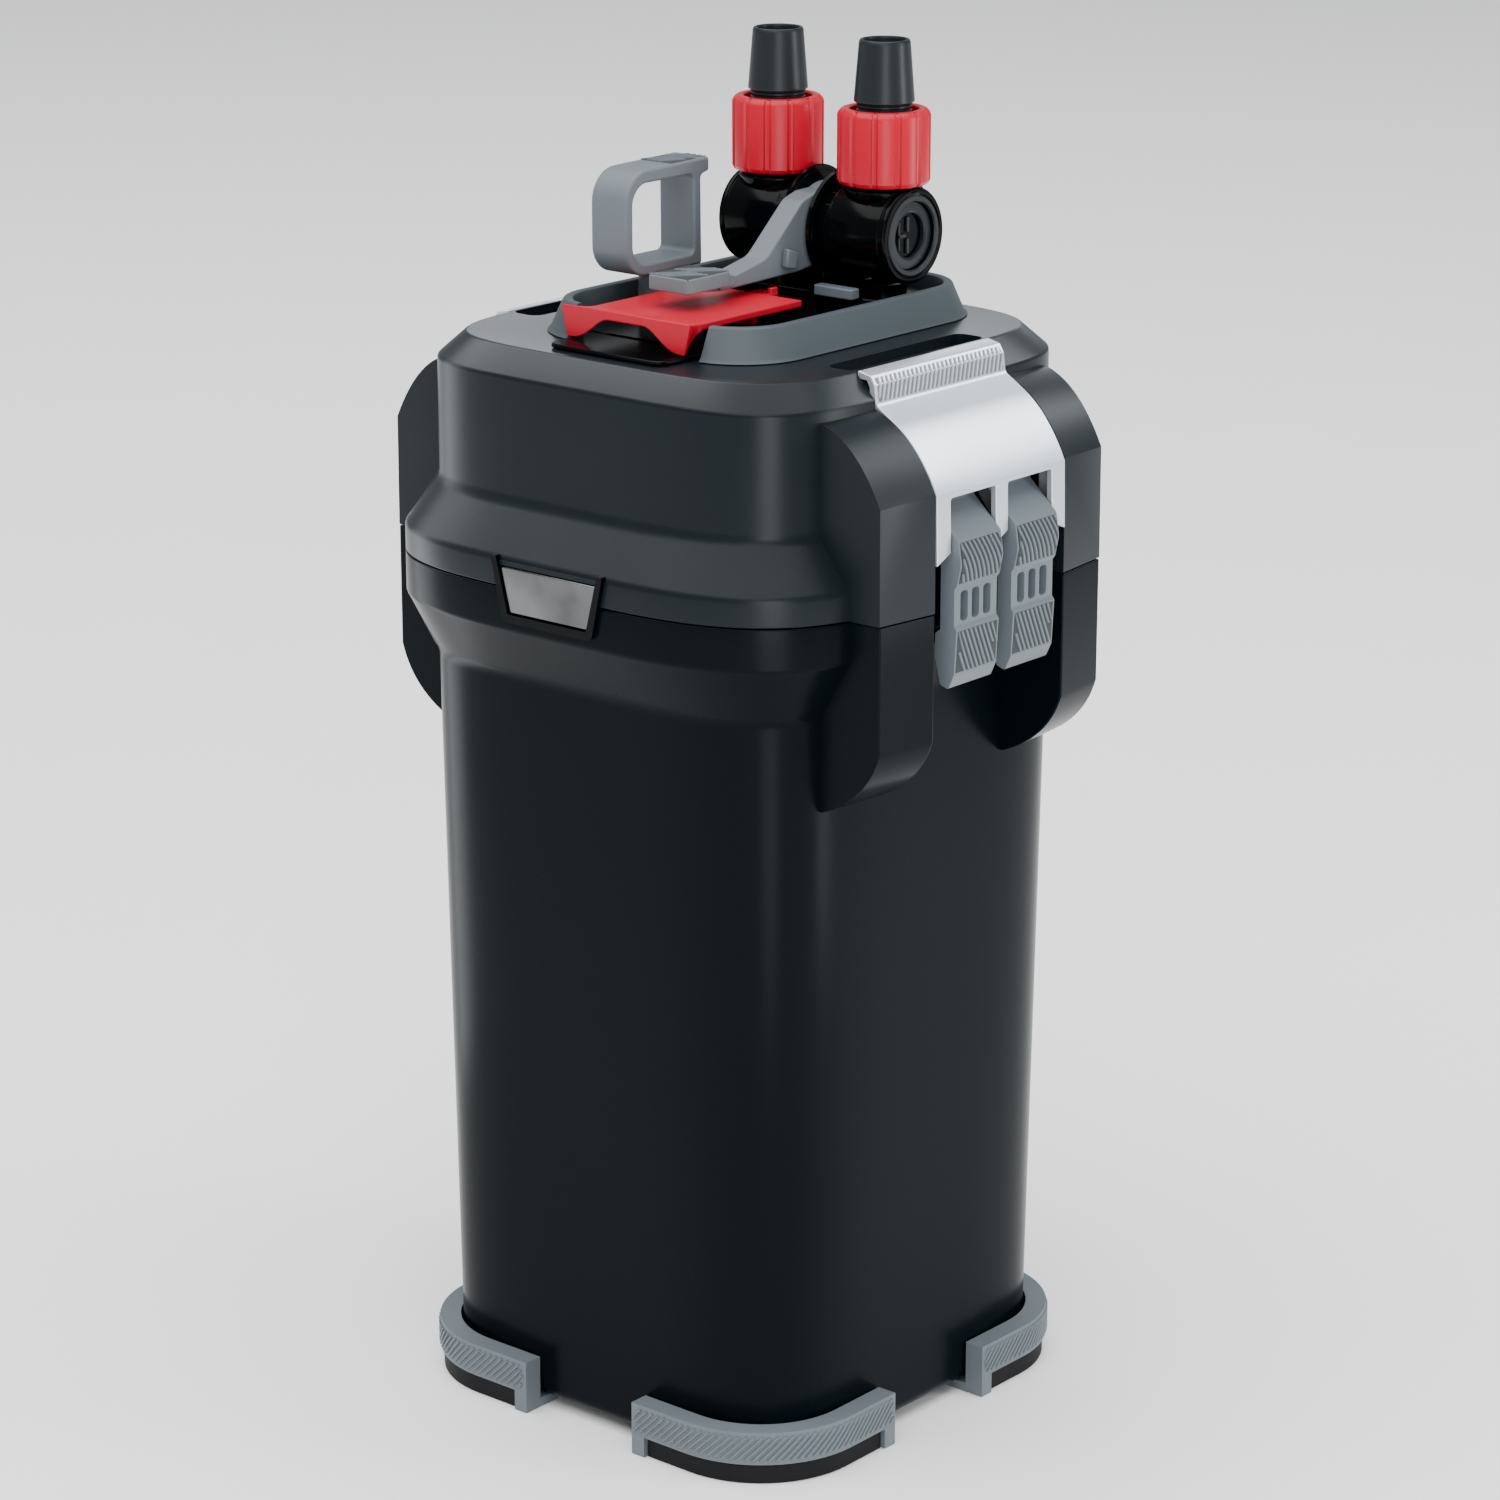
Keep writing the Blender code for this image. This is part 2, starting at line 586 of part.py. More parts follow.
def make_screws():
    for i, (sx, sy) in enumerate(((1, 1), (-1, 1), (-1, -1), (1, -1))):
        centre = (sx * BOSS_XY, sy * BOSS_XY, 0.0)
        profile = [(3.2 * MM, 258.9 * MM), (4.0 * MM, 259.8 * MM), (4.0 * MM, 261.6 * MM),
                   (1.4 * MM, 261.6 * MM),
                   (1.4 * MM, 284.0 * MM)]
        add_object(f"plate_screw_{i + 1}", rod(profile, centre, sides=10), steel())


def make_pump():
    motor = (MOTOR_X, MOTOR_Y, 0.0)
    housing = [(29.5, 330.5), (31.0, 329.0), (31.0, 286.2), (12.8, 286.2), (12.8, 319.0)]
    add_object("motor_housing", rod([(r * MM, z * MM) for r, z in housing], motor, sides=24), deck_black())
    cup = [(23.0, 265.6), (24.5, 267.0), (24.5, 285.6), (22.2, 285.6), (22.2, 267.8)]
    cover = add_object("impeller_cover", rod([(r * MM, z * MM) for r, z in cup], motor, sides=20),
                       collar_grey())
    for k in range(4):
        turn = math.pi / 4.0 + math.pi / 2.0 * k
        centre = (MOTOR_X + 9.0 * MM * math.cos(turn), MOTOR_Y + 9.0 * MM * math.sin(turn), 0.0)
        carve(cover, rod([(4.0 * MM, 262.0 * MM), (4.0 * MM, 270.0 * MM)], centre, sides=8))
    carve(cover, rod([(6.4 * MM, MOTOR_Y + 15.0 * MM), (6.4 * MM, MOTOR_Y + 30.0 * MM)],
                     (MOTOR_X, 0.0, 276.5 * MM), "Y", sides=16))
    shaft = rod([(PIN_R, 268.2 * MM), (PIN_R, 318.6 * MM)], motor, sides=12)
    add_object("impeller_shaft", shaft, ceramic(), motor)
    magnet = [(11.3, 284.2), (11.3, 315.0), (1.9, 315.0), (1.9, 284.2)]
    add_object("rotor_magnet", ring([(r * MM, z * MM) for r, z in magnet], motor, sides=24), deck_black(),
               motor)
    outline = []
    blades = 6
    for k in range(blades):
        turn = 2.0 * math.pi * k / blades
        for radius, swing in ((5.0 * MM, -0.42), (5.0 * MM, -0.18), (17.0 * MM, -0.05), (17.0 * MM, 0.05)):
            angle = turn + swing + (radius - 5.0 * MM) * 12.0
            outline.append((MOTOR_X + radius * math.cos(angle), MOTOR_Y + radius * math.sin(angle)))
    impeller = add_object("impeller", prism(outline, "Z", 270.0 * MM, 281.0 * MM), collar_grey(), motor)
    weld(impeller, rod([(17.4 * MM, 280.6 * MM), (17.4 * MM, 282.8 * MM), (10.6 * MM, 282.8 * MM),
                        (10.6 * MM, 283.8 * MM)], motor, sides=24))
    carve(impeller, rod([(1.9 * MM, 265.0 * MM), (1.9 * MM, 290.0 * MM)], motor, sides=12))


def make_water_ways():
    outlet = [(14.0, 1.4, 276.5), (14.6, 12.0, 276.8), (17.2, 24.0, 279.0), (19.8, 34.0, 285.0),
              (20.8, 39.6, 295.0),
              (NOZZLE_X / MM, VALVE_Y / MM, 308.0), (NOZZLE_X / MM, VALVE_Y / MM, 330.4)]
    add_object("outlet_duct", tube_along([tuple(v * MM for v in p) for p in outlet], 8.5 * MM, 6.5 * MM),
               deck_black())
    ix = INTAKE_X / MM
    iy = INTAKE_Y / MM
    intake = [(-NOZZLE_X / MM, VALVE_Y / MM, 330.4), (-NOZZLE_X / MM, VALVE_Y / MM, 318.0),
              (-25.0, 39.6, 307.0),
              (-35.0, 37.6, 298.0), (-43.6, 36.4, 288.0), (ix, iy, 276.0), (ix, iy, 257.5)]
    add_object("intake_spout", tube_along([tuple(v * MM for v in p) for p in intake], 8.4 * MM, 6.6 * MM),
               deck_black())
    primer = (PRIMER_X, PRIMER_Y, 0.0)
    barrel = [(13.0, 265.6), (13.0, 330.4), (4.8, 330.4), (4.8, 328.4), (11.2, 328.4), (11.2, 265.6)]
    add_object("primer_tube", ring([(r * MM, z * MM) for r, z in barrel], primer, sides=24), deck_black())


def make_cord_gland():
    centre = (GLAND_X, 0.0, GLAND_Z)
    profile = [(3.9, 76.4), (8.0, 76.4), (8.0, 78.6), (6.0, 78.6), (5.2, 87.0), (3.9, 87.0)]
    add_object("cord_gland", ring([(r * MM, y * MM) for r, y in profile], centre, "Y", sides=16), rubber())


# ------------------------------------------------------------------ primer

def make_primer():
    pivot = (PRIMER_X, PRIMER_Y, 351.0 * MM)
    outer = rounded_outline([(-26.4 * MM, 351.0 * MM, 8.0 * MM), (8.2 * MM, 351.0 * MM, 1.0 * MM),
                             (8.2 * MM, 378.6 * MM, 0.0), (12.0 * MM, 379.4 * MM, 0.0),
                             (12.0 * MM, 383.5 * MM, 0.4 * MM), (-26.4 * MM, 382.8 * MM, 9.5 * MM)], 5)
    handle = add_object("primer_handle",
                        prism(outer, "X", PRIMER_X - 7.0 * MM, PRIMER_X + 7.0 * MM), trim_grey(), pivot)
    inner = rounded_outline([(-22.9 * MM, 354.8 * MM, 5.0 * MM), (4.7 * MM, 354.8 * MM, 2.0 * MM),
                             (4.7 * MM, 378.8 * MM, 2.0 * MM), (-22.9 * MM, 378.8 * MM, 6.0 * MM)], 4)
    carve(handle, prism(inner, "X", PRIMER_X - 12.0 * MM, PRIMER_X + 12.0 * MM))
    stem = (PRIMER_X, PRIMER_Y, 0.0)
    weld(handle, rod([(4.0 * MM, 276.4 * MM), (4.0 * MM, 352.0 * MM)], stem, sides=16))
    piston = rod([(10.0 * MM, 270.0 * MM), (10.8 * MM, 271.0 * MM), (10.8 * MM, 275.0 * MM),
                  (10.0 * MM, 276.1 * MM)],
                 stem, sides=20)
    add_object("primer_piston", piston, rubber(), pivot)


# ------------------------------------------------------------------ valve block

def make_valve_body():
    body = add_object("valve_body", block((-31.5 * MM, 27.0 * MM, DECK_TRIM_Z + GAP),
                                          (31.5 * MM, 51.5 * MM, 343.4 * MM)), deck_black())
    axis = (0.0, VALVE_Y, VALVE_Z)
    for side in (-1, 1):
        low, high = sorted((side * 4.5 * MM, side * 6.0 * MM))
        weld(body, rod([(16.4 * MM, low), (16.4 * MM, high)], axis, "X", sides=28))
        weld(body, block((low, 30.0 * MM, 341.0 * MM), (high, 51.0 * MM, 352.0 * MM)))
        port = (side * NOZZLE_X, VALVE_Y, 0.0)
        weld(body, rod([(7.4 * MM, 331.4 * MM), (7.4 * MM, 346.4 * MM)], port, sides=20))
        carve(body, rod([(5.4 * MM, 328.0 * MM), (5.4 * MM, 350.0 * MM)], port, sides=16))
    carve(body, rod([(5.2 * MM, -12.0 * MM), (5.2 * MM, 12.0 * MM)], axis, "X", sides=16))
    weld(body, block((8.0 * MM, 24.0 * MM, 342.0 * MM), (22.0 * MM, 27.6 * MM, 345.6 * MM)))


def make_lever():
    axis = (0.0, VALVE_Y, VALVE_Z)
    arm = [(-34.0, 351.4), (-15.0, 349.4), (22.0, 350.2), (34.0, 352.0), (40.0, 361.0), (36.0, 373.0),
           (28.5, 372.6),
           (22.5, 371.0), (5.5, 356.2), (2.5, 354.6), (-14.0, 352.8), (-34.0, 352.8)]
    lever = add_object("valve_lever", prism([(y * MM, z * MM) for y, z in arm], "X", -LEVER_HALF,
                                            LEVER_HALF),
                       trim_grey(), axis)
    weld(lever, rod([(13.0 * MM, -LEVER_HALF), (13.0 * MM, LEVER_HALF)], axis, "X", sides=24))
    weld(lever, rod([(4.8 * MM, -6.0 * MM), (4.8 * MM, 6.0 * MM)], axis, "X", sides=16))
    weld(lever, block((-8.0 * MM, -35.0 * MM, 352.0 * MM), (8.0 * MM, -15.6 * MM, 356.4 * MM)))


def make_sleeves_and_nozzles():
    for side, name in ((1, "right"), (-1, "left")):
        axis = (side * NOZZLE_X, VALVE_Y, VALVE_Z)
        profile = [(SLEEVE_R, SLEEVE_IN_X), (SLEEVE_R, SLEEVE_OUT_X - 0.8 * MM),
                   (SLEEVE_R - 0.8 * MM, SLEEVE_OUT_X),
                   (SLEEVE_BORE_R, SLEEVE_OUT_X), (SLEEVE_BORE_R, SLEEVE_IN_X)]
        sleeve = add_object("hose_sleeve_" + name, ring([(r, side * x) for r, x in profile], axis, "X",
                                                        sides=28),
                            deck_black(), axis)
        column = (side * NOZZLE_X, VALVE_Y, 0.0)
        weld(sleeve, rod([(9.4 * MM, VALVE_Z + 11.5 * MM), (9.4 * MM, 388.0 * MM)], column, sides=20))
        carve(sleeve, rod([(6.0 * MM, VALVE_Z + 2.0 * MM), (6.0 * MM, 392.0 * MM)], column, sides=16))
        carve(sleeve, rod([(6.0 * MM, 344.0 * MM), (6.0 * MM, VALVE_Z - 2.0 * MM)], column, sides=16))
        rotor = rod([(10.0 * MM, side * 6.6 * MM), (10.0 * MM, side * 31.0 * MM)], axis, "X", sides=24)
        valve = add_object("valve_rotor_" + name, rotor, deck_black(), axis)
        carve(valve, rod([(5.6 * MM, 340.0 * MM), (5.6 * MM, 385.0 * MM)], column, sides=16))
        slot = block((side * 29.6 * MM - 2.0 * MM, VALVE_Y - 0.7 * MM, VALVE_Z - 6.0 * MM),
                     (side * 29.6 * MM + 2.0 * MM, VALVE_Y + 0.7 * MM, VALVE_Z + 6.0 * MM))
        carve(valve, slot)
        drops = [(8.0, 31.6), (8.0, 18.8), (9.2, 18.6), (7.8, 0.7), (7.4, 0.0), (6.3, 0.0), (5.6, 31.6)]
        nozzle = ring([(r * MM, NOZZLE_TOP_Z - drop * MM) for r, drop in drops], column, sides=28)
        add_object("hose_nozzle_" + name, nozzle, head_slate(), axis)
        nut_steps = [(NUT_R - 0.6 * MM, NUT_LOW_Z), (NUT_R, NUT_LOW_Z + 0.8 * MM),
                     (NUT_R, NUT_HIGH_Z - 1.0 * MM),
                     (NUT_R - 1.2 * MM, NUT_HIGH_Z), (10.4 * MM, NUT_HIGH_Z), (9.8 * MM, NUT_LOW_Z)]
        panels = turned(nut_steps, column, sides=48, wobble=lambda i: 1.0 if i % 4 < 3 else 0.965)
        add_object("lock_nut_" + name, loft(panels, closed=True), red(), column)
        seal = [(7.7, 331.4), (9.7, 331.4), (9.7, 334.4), (7.7, 334.4)]
        add_object("port_seal_" + name, ring([(r * MM, z * MM) for r, z in seal], column, sides=20),
                   rubber())


# ------------------------------------------------------------------ media

def media_ring(low, high, radius, inset, z):
    corners = [(low[0] + inset, low[1] + inset), (high[0] - inset, low[1] + inset),
               (high[0] - inset, high[1] - inset), (low[0] + inset, high[1] - inset)]
    inner_r = radius - inset
    radii = [2.0 * MM, inner_r, inner_r, 2.0 * MM]
    outline = rounded_outline([(x, y, r) for (x, y), r in zip(corners, radii)], 4)
    return [(x, y, z) for x, y in outline]


def slots(target, low, high, z_low, z_high, count):
    """A row of slots across a panel, along Y."""
    pitch = (high[1] - low[1] - 16.0 * MM) / count
    for k in range(count):
        y = low[1] + 8.0 * MM + pitch * (k + 0.5)
        carve(target, block((low[0] + 12.0 * MM, y - 0.28 * pitch, z_low),
                            (high[0] - 14.0 * MM, y + 0.28 * pitch, z_high)))


def make_baskets():
    for k, place in enumerate(("bottom", "middle", "top")):
        low = BASKET_LOW_Z + k * BASKET_PITCH
        high = low + BASKET_TALL
        rings = [
            media_ring(BASKET_LO, BASKET_HI, 20.0 * MM, 1.0 * MM, low),
            media_ring(BASKET_LO, BASKET_HI, 20.0 * MM, 0.0, high),
            media_ring(BASKET_LO, BASKET_HI, 20.0 * MM, BASKET_WALL, high),
            media_ring(BASKET_LO, BASKET_HI, 20.0 * MM, BASKET_WALL + 1.0 * MM, low + BASKET_WALL),
        ]
        basket = add_object("media_basket_" + place, loft(rings), deck_black())
        slots(basket, BASKET_LO, BASKET_HI, low - 2.0 * MM, low + 4.0 * MM, 6)
    low = BASKET_LOW_Z + 3 * BASKET_PITCH
    lid_rings = [media_ring(BASKET_LO, BASKET_HI, 20.0 * MM, 0.0, z) for z in (low, low + 2.6 * MM)]
    cover = add_object("basket_cover", loft(lid_rings), deck_black())
    slots(cover, BASKET_LO, BASKET_HI, low - 2.0 * MM, low + 6.0 * MM, 6)
    base = low + 2.6 * MM + GAP
    bail = [(-38.0 * MM, base), (-30.0 * MM, base), (-24.0 * MM, 252.0 * MM), (24.0 * MM, 252.0 * MM),
            (30.0 * MM, base), (38.0 * MM, base), (30.0 * MM, 257.0 * MM), (-30.0 * MM, 257.0 * MM)]
    middle = (BASKET_LO[0] + BASKET_HI[0]) / 2.0
    handle = add_object("basket_handle", prism(bail, "X", middle - 4.0 * MM, middle + 4.0 * MM), red())
    soften(handle, 0.8 * MM)


def make_foam():
    low = BASKET_LOW_Z
    high = 250.0 * MM
    wall = 3.2 * MM
    outline = [(FOAM_LO_X, low), (FOAM_HI_X, low), (FOAM_HI_X, high), (FOAM_LO_X, high),
               (FOAM_LO_X, high - wall),
               (FOAM_HI_X - wall, high - wall), (FOAM_HI_X - wall, low + wall), (FOAM_LO_X, low + wall)]
    frame = add_object("foam_frame", prism(outline, "Y", -FOAM_HALF_Y, FOAM_HALF_Y), collar_grey())
    tall = (high - low - 5.0 * wall) / 4.0
    for k in range(4):
        z = low + wall + k * (tall + wall)
        carve(frame, block((FOAM_HI_X - 2.0 * wall, -FOAM_HALF_Y + 8.0 * MM, z),
                           (FOAM_HI_X + wall, FOAM_HALF_Y - 8.0 * MM, z + tall)))
    carve(frame, rod([(9.0 * MM, 240.0 * MM), (9.0 * MM, 260.0 * MM)], (INTAKE_X, INTAKE_Y, 0.0), sides=16))
    inner = FOAM_HI_X - wall - GAP
    thick = (inner - FOAM_LO_X) / 2.0
    for k, place in enumerate(("inner", "outer")):
        near = inner - k * (thick + GAP)
        far = max(near - thick + GAP, FOAM_LO_X + 0.2 * MM)
        pad = block((far, -FOAM_HALF_Y + 1.0 * MM, low + wall + GAP),
                    (near, FOAM_HALF_Y - 1.0 * MM, high - wall - GAP))
        add_object("foam_pad_" + place, pad, foam_grey())


# ------------------------------------------------------------------ build

def clear_scene():
    for item in list(bpy.data.objects):
        bpy.data.objects.remove(item, do_unlink=True)


def main():
    clear_scene()
    make_canister()
    make_feet()
    make_lid()
    make_badge()
    make_collar()
    make_deck_insert()
    make_tongue()
    make_clamp_covers()
    make_latches()
    make_seal_and_plate()
    make_screws()
    make_pump()
    make_water_ways()
    make_cord_gland()
    make_primer()
    make_valve_body()
    make_lever()
    make_sleeves_and_nozzles()
    make_baskets()
    make_foam()


main()
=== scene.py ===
"""Canister filter: the looks. Every measure is in metres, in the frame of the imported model."""

import json
import math

import bmesh
import bpy
from mathutils import Matrix, Vector

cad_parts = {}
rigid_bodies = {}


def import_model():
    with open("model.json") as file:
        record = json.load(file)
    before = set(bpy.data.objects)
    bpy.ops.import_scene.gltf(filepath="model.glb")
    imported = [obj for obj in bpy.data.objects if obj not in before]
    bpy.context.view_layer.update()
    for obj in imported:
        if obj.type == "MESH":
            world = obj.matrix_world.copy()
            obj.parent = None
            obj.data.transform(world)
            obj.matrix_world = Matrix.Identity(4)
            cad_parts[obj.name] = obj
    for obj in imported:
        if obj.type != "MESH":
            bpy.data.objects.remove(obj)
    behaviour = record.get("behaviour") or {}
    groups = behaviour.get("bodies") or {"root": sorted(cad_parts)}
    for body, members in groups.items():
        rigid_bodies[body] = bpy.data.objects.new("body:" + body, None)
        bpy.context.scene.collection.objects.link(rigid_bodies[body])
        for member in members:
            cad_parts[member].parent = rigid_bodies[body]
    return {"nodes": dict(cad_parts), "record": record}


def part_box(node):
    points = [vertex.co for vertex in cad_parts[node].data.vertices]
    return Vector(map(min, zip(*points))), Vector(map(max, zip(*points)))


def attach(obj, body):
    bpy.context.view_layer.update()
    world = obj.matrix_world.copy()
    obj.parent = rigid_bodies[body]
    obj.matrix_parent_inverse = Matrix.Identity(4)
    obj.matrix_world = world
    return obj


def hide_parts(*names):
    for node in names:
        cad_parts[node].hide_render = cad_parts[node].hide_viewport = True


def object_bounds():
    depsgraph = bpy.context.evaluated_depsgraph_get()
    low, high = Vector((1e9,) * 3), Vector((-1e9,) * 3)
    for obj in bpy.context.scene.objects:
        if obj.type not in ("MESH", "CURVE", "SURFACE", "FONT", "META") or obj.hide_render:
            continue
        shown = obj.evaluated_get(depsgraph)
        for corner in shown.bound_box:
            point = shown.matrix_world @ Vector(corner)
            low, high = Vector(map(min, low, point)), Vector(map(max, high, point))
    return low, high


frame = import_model()
CAD_LOW, CAD_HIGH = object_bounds()
NODES = frame["nodes"]
MM = 0.001


def span(node):
    """A CAD node's lowest and highest corner as vectors."""
    low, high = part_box(node)
    return Vector(low), Vector(high)


# Levels and centres. The deck is the flat top of the lid around the collar; the rest are read from the frame.
SEAM_Z = span("canister_shell")[1].z
DECK_Z = 336.5 * MM
NUT_LOW, NUT_HIGH = span("lock_nut_right")
NOZZLE_X = (NUT_LOW.x + NUT_HIGH.x) / 2.0
VALVE_Y = (NUT_LOW.y + NUT_HIGH.y) / 2.0
VALVE_Z = (span("valve_rotor_right")[0].z + span("valve_rotor_right")[1].z) / 2.0
SIDES = ((1, "right"), (-1, "left"))
CHEEK_IN_Y = 31.0 * MM
CHEEK_OUT_Y = 53.0 * MM


# ------------------------------------------------------------------ materials

def plastic(name, colour, roughness, grain=900.0, bump=0.05, mottle=0.12, metallic=0.0, specular=0.5,
            drift=14.0):
    """Moulded plastic: a fine spark-eroded grain over a slow drift of colour and gloss."""
    made = bpy.data.materials.new(name)
    made.use_nodes = True
    nodes = made.node_tree.nodes
    links = made.node_tree.links
    shader = nodes["Principled BSDF"]
    shader.inputs["Metallic"].default_value = metallic
    shader.inputs["Specular IOR Level"].default_value = specular
    coords = nodes.new("ShaderNodeTexCoord")
    slow = nodes.new("ShaderNodeTexNoise")
    slow.inputs["Scale"].default_value = drift
    slow.inputs["Detail"].default_value = 3.0
    links.new(coords.outputs["Object"], slow.inputs["Vector"])
    fine = nodes.new("ShaderNodeTexNoise")
    fine.inputs["Scale"].default_value = grain
    fine.inputs["Detail"].default_value = 2.0
    links.new(coords.outputs["Object"], fine.inputs["Vector"])
    tint = nodes.new("ShaderNodeMix")
    tint.data_type = "RGBA"
    tint.inputs["A"].default_value = (*[c * (1.0 - mottle) for c in colour], 1.0)
    tint.inputs["B"].default_value = (*[min(1.0, c * (1.0 + mottle)) for c in colour], 1.0)
    links.new(slow.outputs["Fac"], tint.inputs["Factor"])
    links.new(tint.outputs["Result"], shader.inputs["Base Color"])
    gloss = nodes.new("ShaderNodeMapRange")
    gloss.inputs["From Min"].default_value = 0.3
    gloss.inputs["From Max"].default_value = 0.7
    gloss.inputs["To Min"].default_value = max(0.03, roughness - 0.035)
    gloss.inputs["To Max"].default_value = roughness + 0.035
    links.new(slow.outputs["Fac"], gloss.inputs["Value"])
    links.new(gloss.outputs["Result"], shader.inputs["Roughness"])
    relief = nodes.new("ShaderNodeBump")
    relief.inputs["Strength"].default_value = bump
    relief.inputs["Distance"].default_value = 0.0004
    links.new(fine.outputs["Fac"], relief.inputs["Height"])
    links.new(relief.outputs["Normal"], shader.inputs["Normal"])
    return made


def brushed(name, colour, roughness, axis_scale, metallic=1.0, bump=0.08, mottle=0.06, drift=14.0):
    """Metal or metallic lacquer with fine streaks along one direction."""
    made = plastic(name, colour, roughness, mottle=mottle, metallic=metallic, drift=drift)
    nodes = made.node_tree.nodes
    links = made.node_tree.links
    stretch = nodes.new("ShaderNodeMapping")
    stretch.inputs["Scale"].default_value = axis_scale
    coords = next(n for n in nodes if n.type == "TEX_COORD")
    links.new(coords.outputs["Object"], stretch.inputs["Vector"])
    streaks = nodes.new("ShaderNodeTexNoise")
    streaks.inputs["Scale"].default_value = 60.0
    streaks.inputs["Detail"].default_value = 4.0
    links.new(stretch.outputs["Vector"], streaks.inputs["Vector"])
    relief = next(n for n in nodes if n.type == "BUMP")
    relief.inputs["Strength"].default_value = bump
    links.new(streaks.outputs["Fac"], relief.inputs["Height"])
    return made


def open_foam(name, colour):
    """Reticulated foam: pale struts, with painted shade darkening the open cells between them."""
    made = plastic(name, colour, 0.92, mottle=0.25, specular=0.2)
    nodes = made.node_tree.nodes
    links = made.node_tree.links
    coords = next(n for n in nodes if n.type == "TEX_COORD")
    cells = nodes.new("ShaderNodeTexVoronoi")
    cells.inputs["Scale"].default_value = 620.0
    links.new(coords.outputs["Object"], cells.inputs["Vector"])
    tint = next(n for n in nodes if n.type == "MIX")
    links.new(cells.outputs["Distance"], tint.inputs["Factor"])
    # Painted shade: the cell centres are darkened to 0.3 of the colour, and the struts are lifted to 1.7.
    tint.inputs["A"].default_value = (*[c * 0.3 for c in colour], 1.0)
    tint.inputs["B"].default_value = (*[c * 1.7 for c in colour], 1.0)
    relief = next(n for n in nodes if n.type == "BUMP")
    relief.inputs["Strength"].default_value = 0.9
    relief.inputs["Distance"].default_value = 0.0012
    links.new(cells.outputs["Distance"], relief.inputs["Height"])
    return made


M = {
    "canister_black": plastic("canister_black", (0.0011, 0.0025, 0.0037), 0.25, bump=0.015, mottle=0.06,
                              specular=0.045),
    "lid_slate": plastic("lid_slate", (0.0046, 0.0072, 0.0092), 0.31, grain=1500.0, bump=0.05, specular=0.11),
    "collar_grey": plastic("collar_grey", (0.046, 0.058, 0.066), 0.38, grain=1500.0, bump=0.05,
                           specular=0.22),
    "trim_grey": plastic("trim_grey", (0.115, 0.136, 0.153), 0.40, grain=1500.0, bump=0.05, specular=0.25),
    "gloss_black": plastic("gloss_black", (0.0009, 0.0012, 0.0016), 0.15, bump=0.015, mottle=0.08,
                           specular=0.08),
    "nozzle_slate": plastic("nozzle_slate", (0.0095, 0.0125, 0.0150), 0.33, grain=1300.0, bump=0.04,
                            specular=0.24),
    "inner_black": plastic("inner_black", (0.003, 0.0035, 0.004), 0.45, bump=0.06, mottle=0.15,
                           specular=0.12),
    "silver_trim": brushed("silver_trim", (0.41, 0.435, 0.465), 0.33, (1.0, 14.0, 1.0), metallic=0.62,
                           bump=0.03),
    "signal_red": plastic("signal_red", (0.43, 0.0035, 0.0200), 0.30, grain=1400.0, bump=0.03, mottle=0.05,
                          specular=0.22),
    "rubber": plastic("rubber", (0.005, 0.005, 0.006), 0.62, grain=700.0, bump=0.12, mottle=0.2,
                      specular=0.15),
    "steel": brushed("steel", (0.55, 0.55, 0.56), 0.28, (1.0, 1.0, 12.0)),
    "ceramic": plastic("ceramic", (0.78, 0.76, 0.72), 0.35, bump=0.03, mottle=0.05),
    "magnet": plastic("magnet", (0.02, 0.02, 0.022), 0.38, bump=0.05, mottle=0.2),
    "foam": open_foam("foam", (0.055, 0.06, 0.065)),
}
BADGE_METAL = brushed("badge_metal", (0.125, 0.127, 0.132), 0.20, (1.0, 1.0, 26.0), bump=0.05, mottle=0.85,
                      drift=46.0)
# Painted shade: these darker grey and silver grounds sit between ribs and stand in for the shade in the
# grooves.
GROOVE_SHADE_GREY = plastic("groove_shade_grey", (0.030, 0.036, 0.041), 0.55, specular=0.2)
GROOVE_SHADE_SILVER = plastic("groove_shade_silver", (0.100, 0.106, 0.112), 0.50, metallic=0.3, specular=0.3)
SLOT_OF = {row["node"]: row["material_slot"] for row in frame["record"]["subparts"]}
BODY_OF = {n: body for body, members in frame["record"]["behaviour"]["bodies"].items() for n in members}


# ------------------------------------------------------------------ mesh tools

def piece(name, shape, node, finish=None, sharp=32.0):
    """A finished object from a bmesh in frame coordinates, riding with its CAD node's body."""
    bmesh.ops.recalc_face_normals(shape, faces=shape.faces)
    if shape.calc_volume(signed=True) < 0.0:
        bmesh.ops.reverse_faces(shape, faces=shape.faces)
    mesh = bpy.data.meshes.new(name)
    shape.to_mesh(mesh)
    shape.free()
    mesh.shade_smooth()
    mesh.set_sharp_from_angle(angle=math.radians(sharp))
    made = bpy.data.objects.new(name, mesh)
    bpy.context.scene.collection.objects.link(made)
    made.data.materials.append(finish or M[SLOT_OF[node]])
    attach(made, BODY_OF[node])
    return made


def loft(rings, closed=False):
    shape = bmesh.new()
    rows = [[shape.verts.new(point) for point in ring] for ring in rings]
    count = len(rows[0])
    pairs = list(zip(rows, rows[1:]))
    if closed:
        pairs.append((rows[-1], rows[0]))
    for low, high in pairs:
        for i in range(count):
            j = (i + 1) % count
            shape.faces.new((low[i], low[j], high[j], high[i]))
    if not closed:
        shape.faces.new(rows[0])
        shape.faces.new(rows[-1])
    return shape


